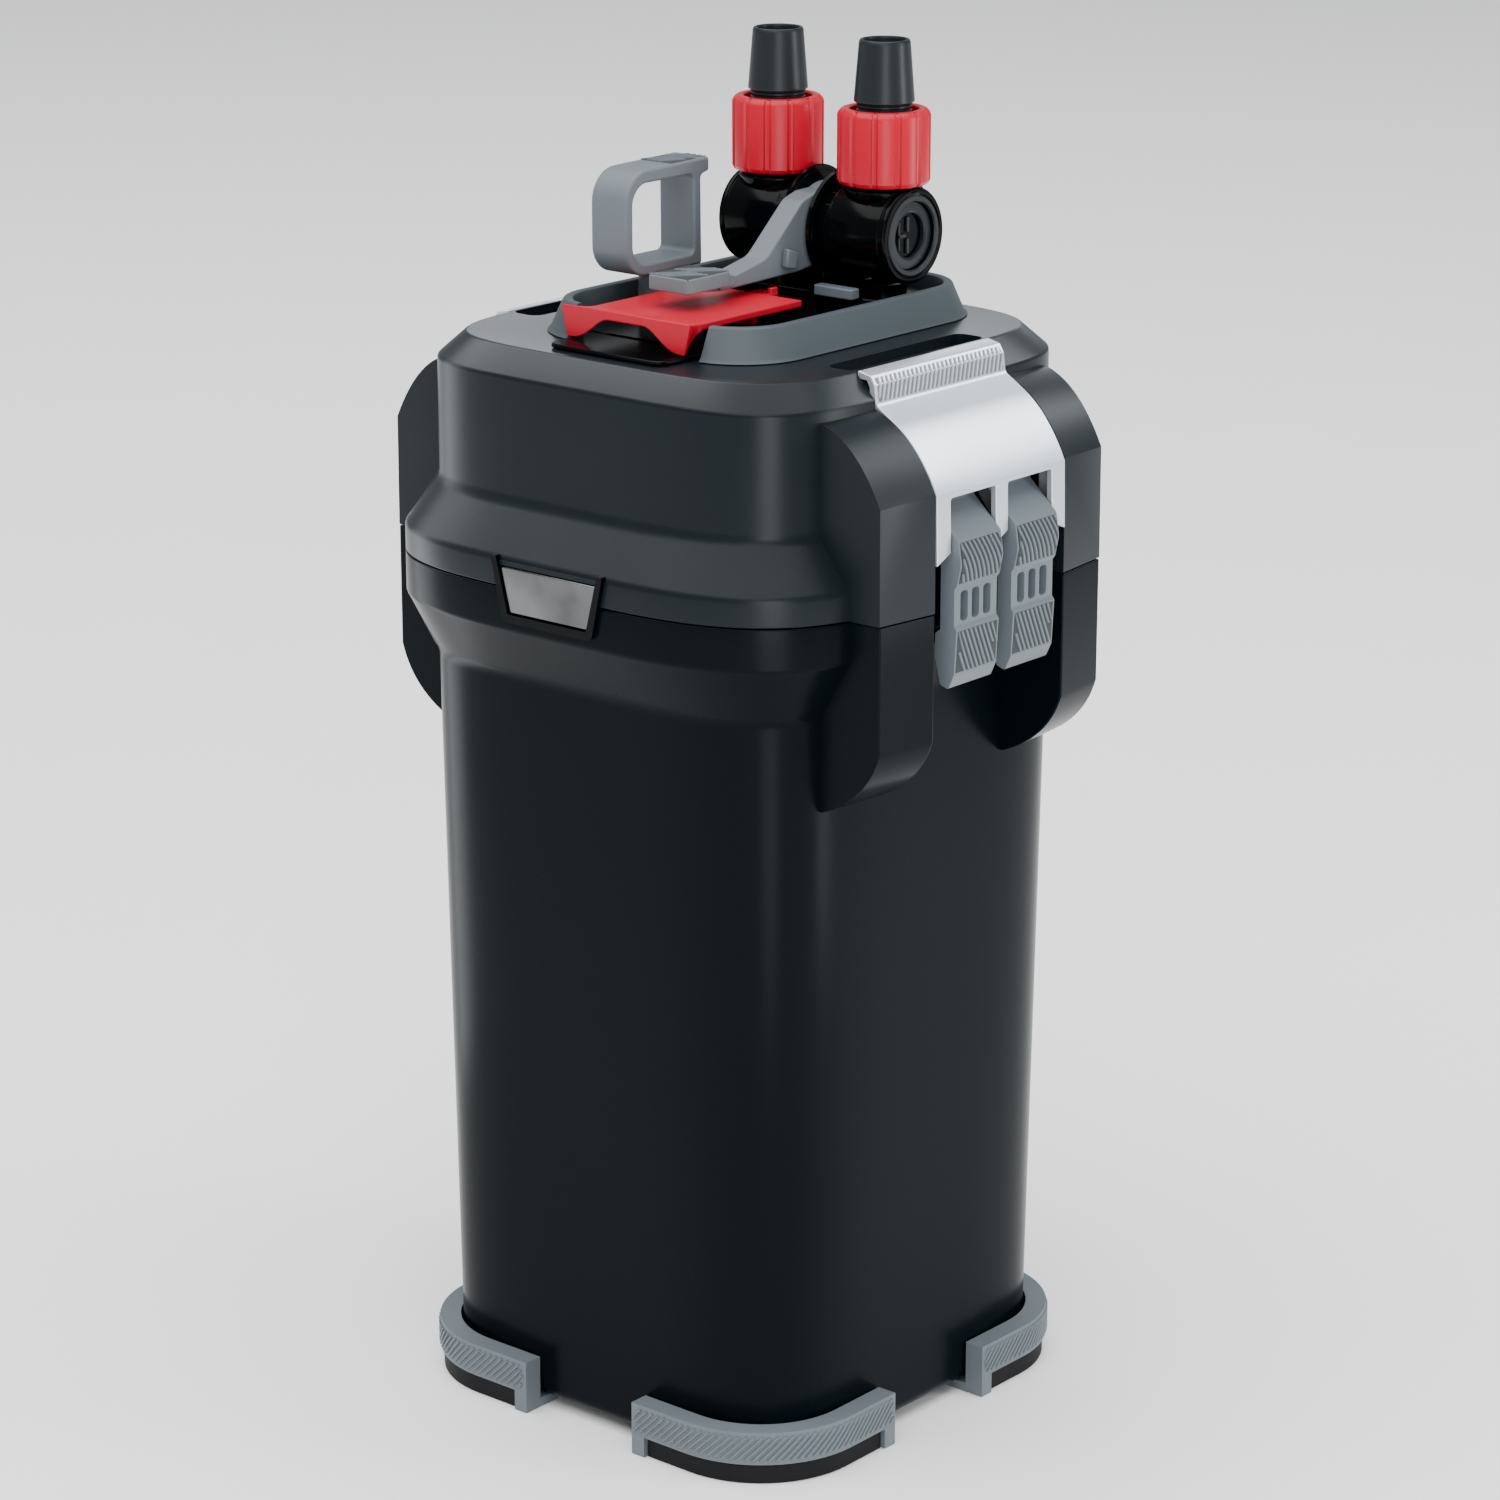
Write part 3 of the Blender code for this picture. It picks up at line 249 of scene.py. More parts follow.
def rounded_path(points, arc_steps=6, closed=True):
    """Points (x, y, radius, extra...) with an arc at each corner; extras are carried along unchanged."""
    out = []
    count = len(points)
    for i, point in enumerate(points):
        here = Vector(point[:2])
        radius = point[2]
        extra = tuple(point[3:])
        if radius <= 0.0 or (not closed and i in (0, count - 1)):
            out.append((here.x, here.y) + extra)
            continue
        to_last = Vector(points[i - 1][:2]) - here
        to_next = Vector(points[(i + 1) % count][:2]) - here
        half = to_last.angle(to_next) / 2.0
        reach = min(radius / math.tan(half), 0.49 * to_last.length, 0.49 * to_next.length)
        radius = reach * math.tan(half)
        centre = here + (to_last.normalized() + to_next.normalized()).normalized() * (radius / math.sin(half))
        start = here + to_last.normalized() * reach - centre
        end = here + to_next.normalized() * reach - centre
        sweep = start.angle_signed(end)
        for k in range(arc_steps + 1):
            spot = centre + Matrix.Rotation(-sweep * k / arc_steps, 2) @ start
            out.append((spot.x, spot.y) + extra)
    return out


def rounded_square(half, power, z, sides=208):
    points = []
    for i in range(sides):
        turn = 2.0 * math.pi * (i + 0.5) / sides
        c = math.cos(turn)
        s = math.sin(turn)
        reach = half * (abs(c) ** power + abs(s) ** power) ** (-1.0 / power)
        points.append((c * reach, s * reach, z))
    return points


def shell(profile, sides=208):
    """A shell from (half width, height, fillet, corner power) points, all in millimetres."""
    path = rounded_path(profile, closed=False)
    return loft([rounded_square(half * MM, power, z * MM, sides) for half, z, power in path])


def prism(outline, axis, low, high, far=None):
    def place(point, along):
        if axis == "X":
            return (along, point[0], point[1])
        if axis == "Y":
            return (point[0], along, point[1])
        return (point[0], point[1], along)
    return loft([[place(p, low) for p in outline], [place(p, high) for p in far or outline]])


def box(low, high):
    outline = [(low[0], low[1]), (high[0], low[1]), (high[0], high[1]), (low[0], high[1])]
    return prism(outline, "Z", low[2], high[2])


def spun(profile, centre, axis="Z", sides=96, scale=None):
    """Rings of a (radius, along) profile about an axis; scale(i) may shape the rim."""
    rings = []
    for radius, along in profile:
        ring = []
        for i in range(sides):
            turn = 2.0 * math.pi * (i + 0.5) / sides
            r = radius * (scale(i, along) if scale else 1.0)
            a = r * math.cos(turn)
            b = r * math.sin(turn)
            if axis == "Z":
                ring.append((centre[0] + a, centre[1] + b, along))
            elif axis == "X":
                ring.append((along, centre[1] + a, centre[2] + b))
            else:
                ring.append((centre[0] + a, along, centre[2] + b))
        rings.append(ring)
    return rings


def rod(profile, centre, axis="Z", sides=96):
    return loft(spun(profile, centre, axis, sides))


def ring(profile, centre, axis="Z", sides=96):
    return loft(spun(profile, centre, axis, sides), closed=True)


def mm(points):
    return [tuple(v * MM for v in p) for p in points]


def mirror(points, side):
    return [(side * p[0],) + tuple(p[1:]) for p in points]


def ordered(a, b):
    return (min(a, b), max(a, b))


def bevel(obj, width, segments=3, angle=28.0):
    step = obj.modifiers.new("bevel", "BEVEL")
    step.width = width
    step.segments = segments
    step.limit_method = "ANGLE"
    step.angle_limit = math.radians(angle)
    step.harden_normals = False
    return obj


def settle(obj):
    """Applies every modifier."""
    graph = bpy.context.evaluated_depsgraph_get()
    mesh = bpy.data.meshes.new_from_object(obj.evaluated_get(graph))
    obj.modifiers.clear()
    obj.data = mesh
    return obj


def boolean(obj, shapes, operation="DIFFERENCE"):
    guides = []
    for shape in shapes:
        bmesh.ops.recalc_face_normals(shape, faces=shape.faces)
        if shape.calc_volume(signed=True) < 0.0:
            bmesh.ops.reverse_faces(shape, faces=shape.faces)
        mesh = bpy.data.meshes.new("guide")
        shape.to_mesh(mesh)
        shape.free()
        guide = bpy.data.objects.new("guide", mesh)
        bpy.context.scene.collection.objects.link(guide)
        guides.append(guide)
        step = obj.modifiers.new("cut", "BOOLEAN")
        step.operation = operation
        step.object = guide
    settle(obj)
    for guide in guides:
        bpy.data.objects.remove(guide)
    obj.data.shade_smooth()
    obj.data.set_sharp_from_angle(angle=math.radians(32.0))
    return obj


def ribs(place, width, height, pitch, lean, rib, tall, steps=1):
    """Slanted ribs over a patch: place(u, v, h) gives a point, and lean is how far u drifts per v."""
    shape = bmesh.new()
    count = int((width + abs(lean) * height) / pitch) + 2
    for k in range(-count, count + 1):
        rows = []
        for j in range(steps + 1):
            v = height * j / steps
            u = k * pitch + lean * v
            left = min(max(u - rib / 2.0, 0.0), width)
            right = min(max(u + rib / 2.0, 0.0), width)
            if right - left < 0.3 * rib:
                rows.append(None)
                continue
            edge = 0.22 * (right - left)
            rows.append([place(left, v, -tall), place(left + edge, v, tall),
                         place(right - edge, v, tall), place(right, v, -tall)])
        run = []
        for row in rows + [None]:
            if row is not None:
                run.append(row)
                continue
            if len(run) > 1:
                strip = [[shape.verts.new(p) for p in r] for r in run]
                for a, b in zip(strip, strip[1:]):
                    for i in range(4):
                        shape.faces.new((a[i], a[(i + 1) % 4], b[(i + 1) % 4], b[i]))
                shape.faces.new(strip[0])
                shape.faces.new(strip[-1])
            run = []
    return shape


def ribbed(name, node, shade_ground, place, width, height, pitch, lean, rib, tall, steps=2):
    """A patch of slanted ribs over a darker ground, painted shade in the grooves between them."""
    piece(name, ribs(place, width, height, pitch, lean, rib, tall, steps), node)
    shape = bmesh.new()
    rows = []
    for j in range(steps + 1):
        v = height * j / steps
        rows.append([shape.verts.new(place(u, v, h)) for u,
                     h in ((0.0, -tall), (0.0, 0.06 * MM), (width, 0.06 * MM),
                                                                 (width, -tall))])
    for a, b in zip(rows, rows[1:]):
        for i in range(4):
            shape.faces.new((a[i], a[(i + 1) % 4], b[(i + 1) % 4], b[i]))
    shape.faces.new(rows[0])
    shape.faces.new(rows[-1])
    # Painted shade: a darker sheet just under the rib tops darkens the grooves.
    piece(name + "_ground", shape, node, shade_ground)


# ------------------------------------------------------------------ canister

def sweep(start, bend, end, steps=14):
    """Points of a curve that leaves start towards bend and arrives at end from it."""
    return [tuple((1 - t) ** 2 * p + 2 * t * (1 - t) * q + t * t * r for p, q, r in zip(start, bend, end))
            for t in (k / steps for k in range(steps + 1))]


CURVE_IN = sweep((75.2, 326.6), (88.8, 322.8), (97.8, 304.6))
CURVE_OUT = sweep((74.4, 325.4), (86.6, 321.6), (95.0, 303.8))


def canister():
    top = SEAM_Z / MM
    body = piece("canister_body", shell([
        (60.0, 3.2, 0.0, 5.4), (72.25, 3.2, 4.5, 5.4), (76.0, 238.6, 9.0, 5.0), (88.0, 256.6, 3.4, 3.7),
        (88.0, top, 0.5, 3.7), (73.2, top, 0.5, 5.0), (73.0, 238.0, 6.0, 5.0), (69.4, 6.4, 4.0, 5.4),
        (60.0, 6.4, 0.0, 5.4)]), "canister_shell")
    notch = prism(mm([(-20.9, 280.0), (-17.5, 260.1), (17.5, 260.1), (20.9, 280.0)]), "Y", -95 * MM,
                  -84.9 * MM)
    bars = [box((ordered(side * 86.0 * MM, side * 91.4 * MM)[0], -31.5 * MM, 262.4 * MM),
                (ordered(side * 86.0 * MM, side * 91.4 * MM)[1], 31.5 * MM, 268.2 * MM)) for side, _ in SIDES]
    boolean(body, [notch])
    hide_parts("canister_shell")
    for (side, name), bar in zip(SIDES, bars):
        bevel(piece("rim_bar_" + name, bar, "canister_shell"), 0.7 * MM)
        for front, place in ((1, "rear"), (-1, "front")):
            inner = [(74.6, top, 0), (98.0, top, 0.5)]
            inner += [(x, z, 0) for x, z in sweep((98.0, 231.6), (93.6, 217.0), (76.2, 210.2))]
            inner += [(74.6, 210.2, 0)]
            outer = [(71.6, top, 0), (95.2, top, 0.5)]
            outer += [(x, z, 0) for x, z in sweep((95.2, 231.6), (91.0, 217.0), (74.2, 210.2))]
            outer += [(71.6, 210.2, 0)]
            near = [(side * x, z) for x, z in mm(rounded_path(inner))]
            far = [(side * x, z) for x, z in mm(rounded_path(outer))]
            block = prism(near, "Y", front * CHEEK_IN_Y, front * CHEEK_OUT_Y, far)
            bevel(piece(f"cheek_low_{place}_{name}", block, "canister_shell"), 0.8 * MM, 4, 20.0)


def corner_path(half, radius, end, z, sign):
    """Half the length of one corner seen from above, as points with the outward direction."""
    centre = half - radius
    points = [((end, half), (0.0, 1.0))]
    for k in range(17):
        turn = math.pi / 2.0 * k / 16
        way = (math.sin(turn), math.cos(turn))
        points.append(((centre + radius * way[0], centre + radius * way[1]), way))
    points.append(((half, end), (1.0, 0.0)))
    return [((sign[0] * x, sign[1] * y, z), (sign[0] * nx, sign[1] * ny)) for (x, y), (nx, ny) in points]


def along(path, distance):
    """Point and outward direction at a distance along a path."""
    walked = 0.0
    for (p, n), (q, m) in zip(path, path[1:]):
        step = math.dist(p, q)
        if walked + step >= distance:
            t = (distance - walked) / step
            return (Vector(p).lerp(Vector(q), t), Vector(n).lerp(Vector(m), t).normalized())
        walked += step
    return Vector(path[-1][0]), Vector(path[-1][1])


def band_outline(outer, inner, end, radius, sign):
    outside = [p[:2] for p, _ in corner_path(outer, radius, end, 0.0, sign)]
    inside = [p[:2] for p, _ in corner_path(inner, radius - (outer - inner), end, 0.0, sign)]
    return outside + inside[::-1]


def feet():
    outer = 79.5 * MM
    for sx, sy, place in ((1, 1, "rear_right"), (-1, 1, "rear_left"), (1, -1, "front_right"),
                          (-1, -1, "front_left")):
        node = "foot_" + place
        sign = (sx, sy)
        band = band_outline(outer, 72.9 * MM, 22.0 * MM, 36.0 * MM, sign)
        foot = piece("corner_" + place, prism(band, "Z", 6.5 * MM, 17.0 * MM), node)
        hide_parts(node)
        tabs = []
        for swap in (False, True):
            tab = mm([(22.0, 60.0, 0), (27.0, 60.0, 0), (27.0, 79.5, 0), (22.0, 79.5, 0)])
            flat = [(sx * (y if swap else x), sy * (x if swap else y)) for x, y, _ in tab]
            tabs.append(prism(flat, "Z", 0.0, 2.9 * MM))
            tab = mm([(22.0, 72.9, 0), (27.0, 72.9, 0), (27.0, 79.5, 0), (22.0, 79.5, 0)])
            flat = [(sx * (y if swap else x), sy * (x if swap else y)) for x, y, _ in tab]
            tabs.append(prism(flat, "Z", 2.0 * MM, 9.0 * MM))
        plate = band_outline(74.6 * MM, 60.0 * MM, 23.0 * MM, 30.0 * MM, sign)
        tabs.append(prism(plate, "Z", 1.9 * MM, 2.9 * MM))
        boolean(foot, tabs, "UNION")
        bevel(foot, 0.6 * MM, 3, 35.0)
        path = corner_path(outer, 36.0 * MM, 22.0 * MM, 0.0, sign)
        length = sum(math.dist(p, q) for (p, _), (q, _) in zip(path, path[1:]))

        def skin(u, v, h):
            spot, way = along(path, u + 1.0 * MM)
            return (spot.x + way.x * h, spot.y + way.y * h, 8.0 * MM + v)
        lean = 1.0 if sx * sy < 0 else -1.0
        piece("corner_ribs_" + place,
              ribs(skin, length - 2.0 * MM, 7.6 * MM, 2.4 * MM, lean, 1.5 * MM, 0.55 * MM, 5), node)
        pad = piece("sole_" + place,
                    prism(band_outline(78.2 * MM, 61.0 * MM, 27.4 * MM, 34.0 * MM, sign), "Z", 0.0,
                                           1.6 * MM), "foot_pad_" + place)
        boolean(pad, [prism(band_outline(78.2 * MM, 74.9 * MM, 27.4 * MM, 34.0 * MM, sign), "Z", 1.0 * MM,
                            6.1 * MM)], "UNION")
        bevel(pad, 0.5 * MM, 2, 35.0)
        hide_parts("foot_pad_" + place)


# ------------------------------------------------------------------ head

def trapezoid(top_half, low_half, low, high, radius=0.0):
    return mm(rounded_path([(-low_half, low, radius), (low_half, low, radius), (top_half, high, radius),
                            (-top_half, high, radius)]))


def lid():
    low = SEAM_Z / MM + 0.3
    body = piece("lid_body", shell([
        (50.0, 336.5, 0.0, 4.8), (68.4, 336.5, 1.5, 4.8), (75.55, 329.0, 2.2, 4.8), (76.4, 292.0, 7.0, 4.5),
        (88.0, 278.0, 4.0, 3.7), (88.0, low, 0.5, 3.7), (73.0, low, 0.5, 5.0), (72.8, 291.0, 2.0, 5.0),
        (70.0, 300.0, 2.0, 5.0), (69.2, 326.0, 2.0, 5.0), (62.0, 330.9, 1.0, 5.0), (50.0, 330.9, 0.0, 5.0)]),
        "lid_shell")
    holder = prism(trapezoid(20.4, 17.2, 260.8, 277.6, 1.2), "Y", -88.4 * MM, -85.4 * MM)
    boolean(body, [holder], "UNION")
    cuts = [prism(trapezoid(19.2, 15.5, 261.8, 276.2, 0.8), "Y", -92.0 * MM, -87.0 * MM)]
    for side, _ in SIDES:
        seat = mm([(side * 72.6, 296.0), (side * 90.0, 296.0), (side * 90.0, 340.0), (side * 68.2, 340.0),
                   (side * 68.2, 334.0), (side * 72.6, 334.0)])
        cuts.append(prism(seat, "Y", -CHEEK_IN_Y, CHEEK_IN_Y))
        slot = mm(rounded_path([(side * 56.5, -31.0, 3.5), (side * 67.3, -31.0, 3.5),
                                (side * 67.3, 32.0, 3.5), (side * 56.5, 32.0, 3.5)]))
        cuts.append(prism(slot, "Z", 333.3 * MM, 338.0 * MM))
        cuts.append(rod([(10.0 * MM, 325.0 * MM), (10.0 * MM, 340.0 * MM)], (side * NOZZLE_X, VALVE_Y, 0),
                        sides=48))
    cuts.append(rod([(4.8 * MM, 325.0 * MM), (4.8 * MM, 340.0 * MM)], (-31.0 * MM, -7.0 * MM, 0), sides=32))
    cuts.append(rod([(3.9 * MM, 60.0 * MM), (3.9 * MM, 80.0 * MM)], (-40.0 * MM, 0, 312.0 * MM), "Y",
                    sides=32))
    boolean(body, cuts)
    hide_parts("lid_shell")
    for side, name in SIDES:
        for front, place in ((1, "rear"), (-1, "front")):
            inner = [(74.0, 326.6, 0)] + [(x, z, 0) for x, z in CURVE_IN] + [(98.0, low, 0.4), (74.0, low, 0)]
            outer = [(71.0, 325.4, 0)] + [(x, z, 0) for x, z in CURVE_OUT] + [(95.2, low, 0.4),
                                                                              (71.0, low, 0)]
            near = [(side * x, z) for x, z in mm(rounded_path(inner, 4))]
            far = [(side * x, z) for x, z in mm(rounded_path(outer, 4))]
            block = prism(near, "Y", front * CHEEK_IN_Y, front * CHEEK_OUT_Y, far)
            bevel(piece(f"cheek_high_{place}_{name}", block, "lid_shell"), 0.8 * MM, 4, 20.0)
    for sx in (-1, 1):
        for sy in (-1, 1):
            place = f"{'r' if sx > 0 else 'l'}{'r' if sy > 0 else 'f'}"
            boss = ring([(5.0 * MM, 272.2 * MM), (5.0 * MM, 331.5 * MM), (1.7 * MM, 331.5 * MM),
                         (1.7 * MM, 272.2 * MM)], (sx * 52.0 * MM, sy * 52.0 * MM, 0), sides=32)
            piece("screw_boss_" + place, boss, "lid_shell")


def badge():
    """A blank plate in a thick dark holder whose sides run up past the seam."""
    outer = [(-17.6, 259.4, 2.6), (17.6, 259.4, 2.6), (21.9, 279.0, 0.6), (19.9, 279.0, 0.6),
             (19.2, 276.4, 0.1), (15.5, 261.9, 0.6), (-15.5, 261.9, 0.6), (-19.2, 276.4, 0.1),
             (-19.9, 279.0, 0.6), (-21.9, 279.0, 0.6)]
    holder = piece("badge_holder", prism(mm(rounded_path(outer)), "Y", -89.5 * MM, -87.2 * MM), "lid_shell",
                   M["gloss_black"])
    bevel(holder, 0.4 * MM, 3)
    plate = piece("seam_badge", prism(trapezoid(18.8, 15.1, 262.2, 275.8, 0.8), "Y", -88.7 * MM, -87.3 * MM),
                  "badge_plate", BADGE_METAL)
    bevel(plate, 0.3 * MM, 2)
    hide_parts("badge_plate")


def collar_ring(half_x, front, rear, radius, z, steps=16):
    corners = [(-half_x, front, radius), (half_x, front, radius), (half_x, rear, radius),
               (-half_x, rear, radius)]
    return [(x * MM, y * MM, z * MM) for x, y in rounded_path(corners, steps)]


def collar():
    low = DECK_Z / MM + 0.3
    steps = [(45.9, -51.2, 65.2, 22.2, low), (45.5, -50.8, 64.8, 21.8, low + 0.4),
             (44.9, -50.2, 64.2, 21.3, low + 1.1)]
    steps += [(41.4, -46.9, 61.3, 18.6, 345.9), (41.1, -46.6, 61.0, 18.3, 346.35),
              (40.6, -46.2, 60.6, 18.0, 346.6), (39.0, -44.7, 59.2, 16.6, 346.6),
              (38.5, -44.2, 58.7, 16.1, 346.3), (38.2, -43.9, 58.4, 15.8, 345.6),
              (38.2, -43.9, 58.4, 15.8, low)]
    made = piece("collar", loft([collar_ring(*s) for s in steps], closed=True), "head_collar")
    mouth = mm([(-25.8, 352.0), (-25.8, 334.0), (25.8, 334.0), (25.8, 352.0)])
    boolean(made, [prism(mouth, "Y", -60.0 * MM, -42.0 * MM)])
    bevel(made, 0.4 * MM, 2, 40.0)
    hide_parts("head_collar")


def deck():
    low, high = span("deck_insert")
    top = high.z / MM
    rings = [collar_ring(37.8, -43.5, 58.0, 15.4, low.z / MM),
             collar_ring(37.8, -43.5, 58.0, 15.4, top - 0.3), collar_ring(37.5, -43.2, 57.7, 15.1, top)]
    made = piece("well_floor", loft(rings), "deck_insert")
    cuts = [rod([(8.3 * MM, 330.0 * MM), (8.3 * MM, 342.0 * MM)], (side * NOZZLE_X, VALVE_Y, 0), sides=48)
            for side, _ in SIDES]
    cuts.append(rod([(4.8 * MM, 330.0 * MM), (4.8 * MM, 342.0 * MM)], (-31.0 * MM, -7.0 * MM, 0), sides=32))
    boolean(made, cuts)
    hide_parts("deck_insert")
    apron = mm(rounded_path([(-22.0, -64.0, 4.0), (22.0, -64.0, 4.0), (23.6, -43.0, 0), (-23.6, -43.0, 0)]))
    bevel(piece("front_apron", prism(apron, "Z", low.z, high.z - 0.4 * MM), "deck_insert"), 0.5 * MM, 3)
    guide = ring(mm([(6.4, top - 0.4), (6.4, 339.9), (6.0, 340.3), (5.2, 340.3), (4.9, top - 0.4)]),
                 (-31.0 * MM, -7.0 * MM, 0), sides=64)
    piece("primer_guide", guide, "deck_insert")
    for k in range(4):
        y = (-6.0 + 8.0 * k) * MM
        rail = box((24.0 * MM, y, high.z - 0.4 * MM), (36.0 * MM, y + 1.4 * MM, high.z + 0.9 * MM))
        bevel(piece(f"well_rib_{k}", rail, "deck_insert"), 0.3 * MM, 2)


def tongue():
    """A red plate with a thick flared lip in front and two wings that sweep down to the deck."""
    rows = []
    for k in range(17):
        t = k / 16.0
        y = -54.0 + 10.0 * t
        flare = (1.0 - t) ** 1.8
        half = 20.9 + 4.0 * flare
        top = 346.4 + 1.7 * flare
        drop = (1.0 - t) ** 1.2
        foot = 344.3 - 5.9 * drop
        arch = 344.3 + 0.9 * flare
        wing = half - 2.2 * drop
        sweep = []
        for j in range(13):
            u = j / 12.0
            ease = u * u * (3.0 - 2.0 * u)
            sweep.append((wing - 1.0 - (2.0 + 13.0 * drop) * u ** 0.8, foot + (arch - foot) * ease))
        right = [(half, top), (half + 0.1, top - 1.4), (wing + 0.5, foot)] + sweep
        outline = right + [(-x, z) for x, z in reversed(right)]
        rows.append([(x * MM, y * MM, z * MM) for x, z in outline])
    made = piece("red_tongue", loft(rows), "front_tongue")
    bevel(made, 0.5 * MM, 3, 36.0)
    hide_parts("front_tongue")
    plate = piece("red_tongue_plate",
                  box((-20.9 * MM, -44.6 * MM, 344.3 * MM), (20.9 * MM, 2.0 * MM, 346.4 * MM)),
                  "front_tongue")
    bevel(plate, 0.4 * MM, 3)
    leg = piece("red_tongue_leg", box((-10 * MM, -8 * MM, 338.9 * MM), (10 * MM, -5.5 * MM, 345 * MM)),
                "front_tongue")
    bevel(leg, 0.4 * MM, 2)
    tab = piece("red_tongue_tab", box((-2.0 * MM, 0.0, 344.6 * MM), (5.5 * MM, 9.5 * MM, 345.8 * MM)),
                "front_tongue")
    bevel(tab, 0.3 * MM, 2)
    fin = piece("red_tongue_fin", box((4.0 * MM, 6.0 * MM, 342.5 * MM), (5.4 * MM, 9.4 * MM, 347.4 * MM)),
                "front_tongue")
    bevel(fin, 0.3 * MM, 2)


def cover_profile():
    outer = [(68.5, 336.9, 0.5), (73.2, 335.9, 1.0), (74.9, 333.2, 1.2), (75.6, 327.6, 1.8)]
    outer += [(x, z, 0) for x, z in CURVE_IN[4:-1]] + [(98.0, 304.0, 0.6), (98.5, 283.0, 0.2)]
    inner = [(96.3, 283.0, 0.2), (96.0, 303.0, 2.0), (95.4, 304.8, 2.0), (91.4, 311.3, 3.0),
             (85.6, 317.8, 3.0), (79.6, 322.2, 2.0), (72.9, 323.4, 0.3), (72.9, 332.4, 0.3),
             (71.8, 334.4, 0.3), (68.5, 334.4, 0.3)]
    return mm(rounded_path(outer + inner, 4))


def clamp_covers():
    half = CHEEK_IN_Y - 0.3 * MM
    for side, name in SIDES:
        node = "clamp_cover_" + name
        made = piece("silver_cover_" + name, prism(mirror(cover_profile(), side), "Y", -half, half), node)
        cuts = []
        for front in (-1, 1):
            y0, y1 = ordered(front * 2.9, front * 24.2)
            window = mm(rounded_path([(y0, 270.0, 0), (y1, 270.0, 0), (y1, 302.5, 0.8), (y0, 302.5, 0.8)], 3))
            cuts.append(prism(window, "X", *ordered(side * 82.0 * MM, side * 110.0 * MM)))
        low, high = ordered(side * 82.0 * MM, side * 110.0 * MM)
        cuts.append(prism(mm([(-3.4, 280.0), (3.4, 280.0), (3.4, 288.4), (-3.4, 285.2)]), "X", low, high))
        for front in (-1, 1):
            cuts.append(prism(mm([(front * 24.0, 281.0), (front * 32.0, 281.0), (front * 32.0, 283.0),
                                  (front * 24.0, 286.6)]), "X", low, high))
        boolean(made, cuts)
        bevel(made, 0.45 * MM, 3, 32.0)
        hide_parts(node)

        def strip(u, v, h):
            z = 335.2 * MM - v
            x = (74.9 - 0.62 * max(0.0, z / MM - 333.2) + 0.12 * max(0.0, 333.2 - z / MM)) * MM
            return (side * (x + 0.96 * h), -half + 1.2 * MM + u, z + 0.25 * h)

        ribbed("silver_cover_ribs_" + name, node, GROOVE_SHADE_SILVER, strip, 2.0 * half - 2.4 * MM, 6.8 * MM,
               2.0 * MM, -0.35 * side, 1.25 * MM, 0.4 * MM, 6)
        for front in (-1, 1):
            y0, y1 = ordered(front * 24.6 * MM, front * 30.4 * MM)
            x0, x1 = ordered(side * 89.5 * MM, side * 96.6 * MM)
            web = piece(f"silver_cover_web_{name}_{'rear' if front > 0 else 'front'}",
                        box((x0, ordered(front * 29.0 * MM, front * 30.6 * MM)[0], 284.0 * MM),
                            (x1, ordered(front * 29.0 * MM, front * 30.6 * MM)[1], 306.0 * MM)), node)
            bevel(web, 0.3 * MM, 2)


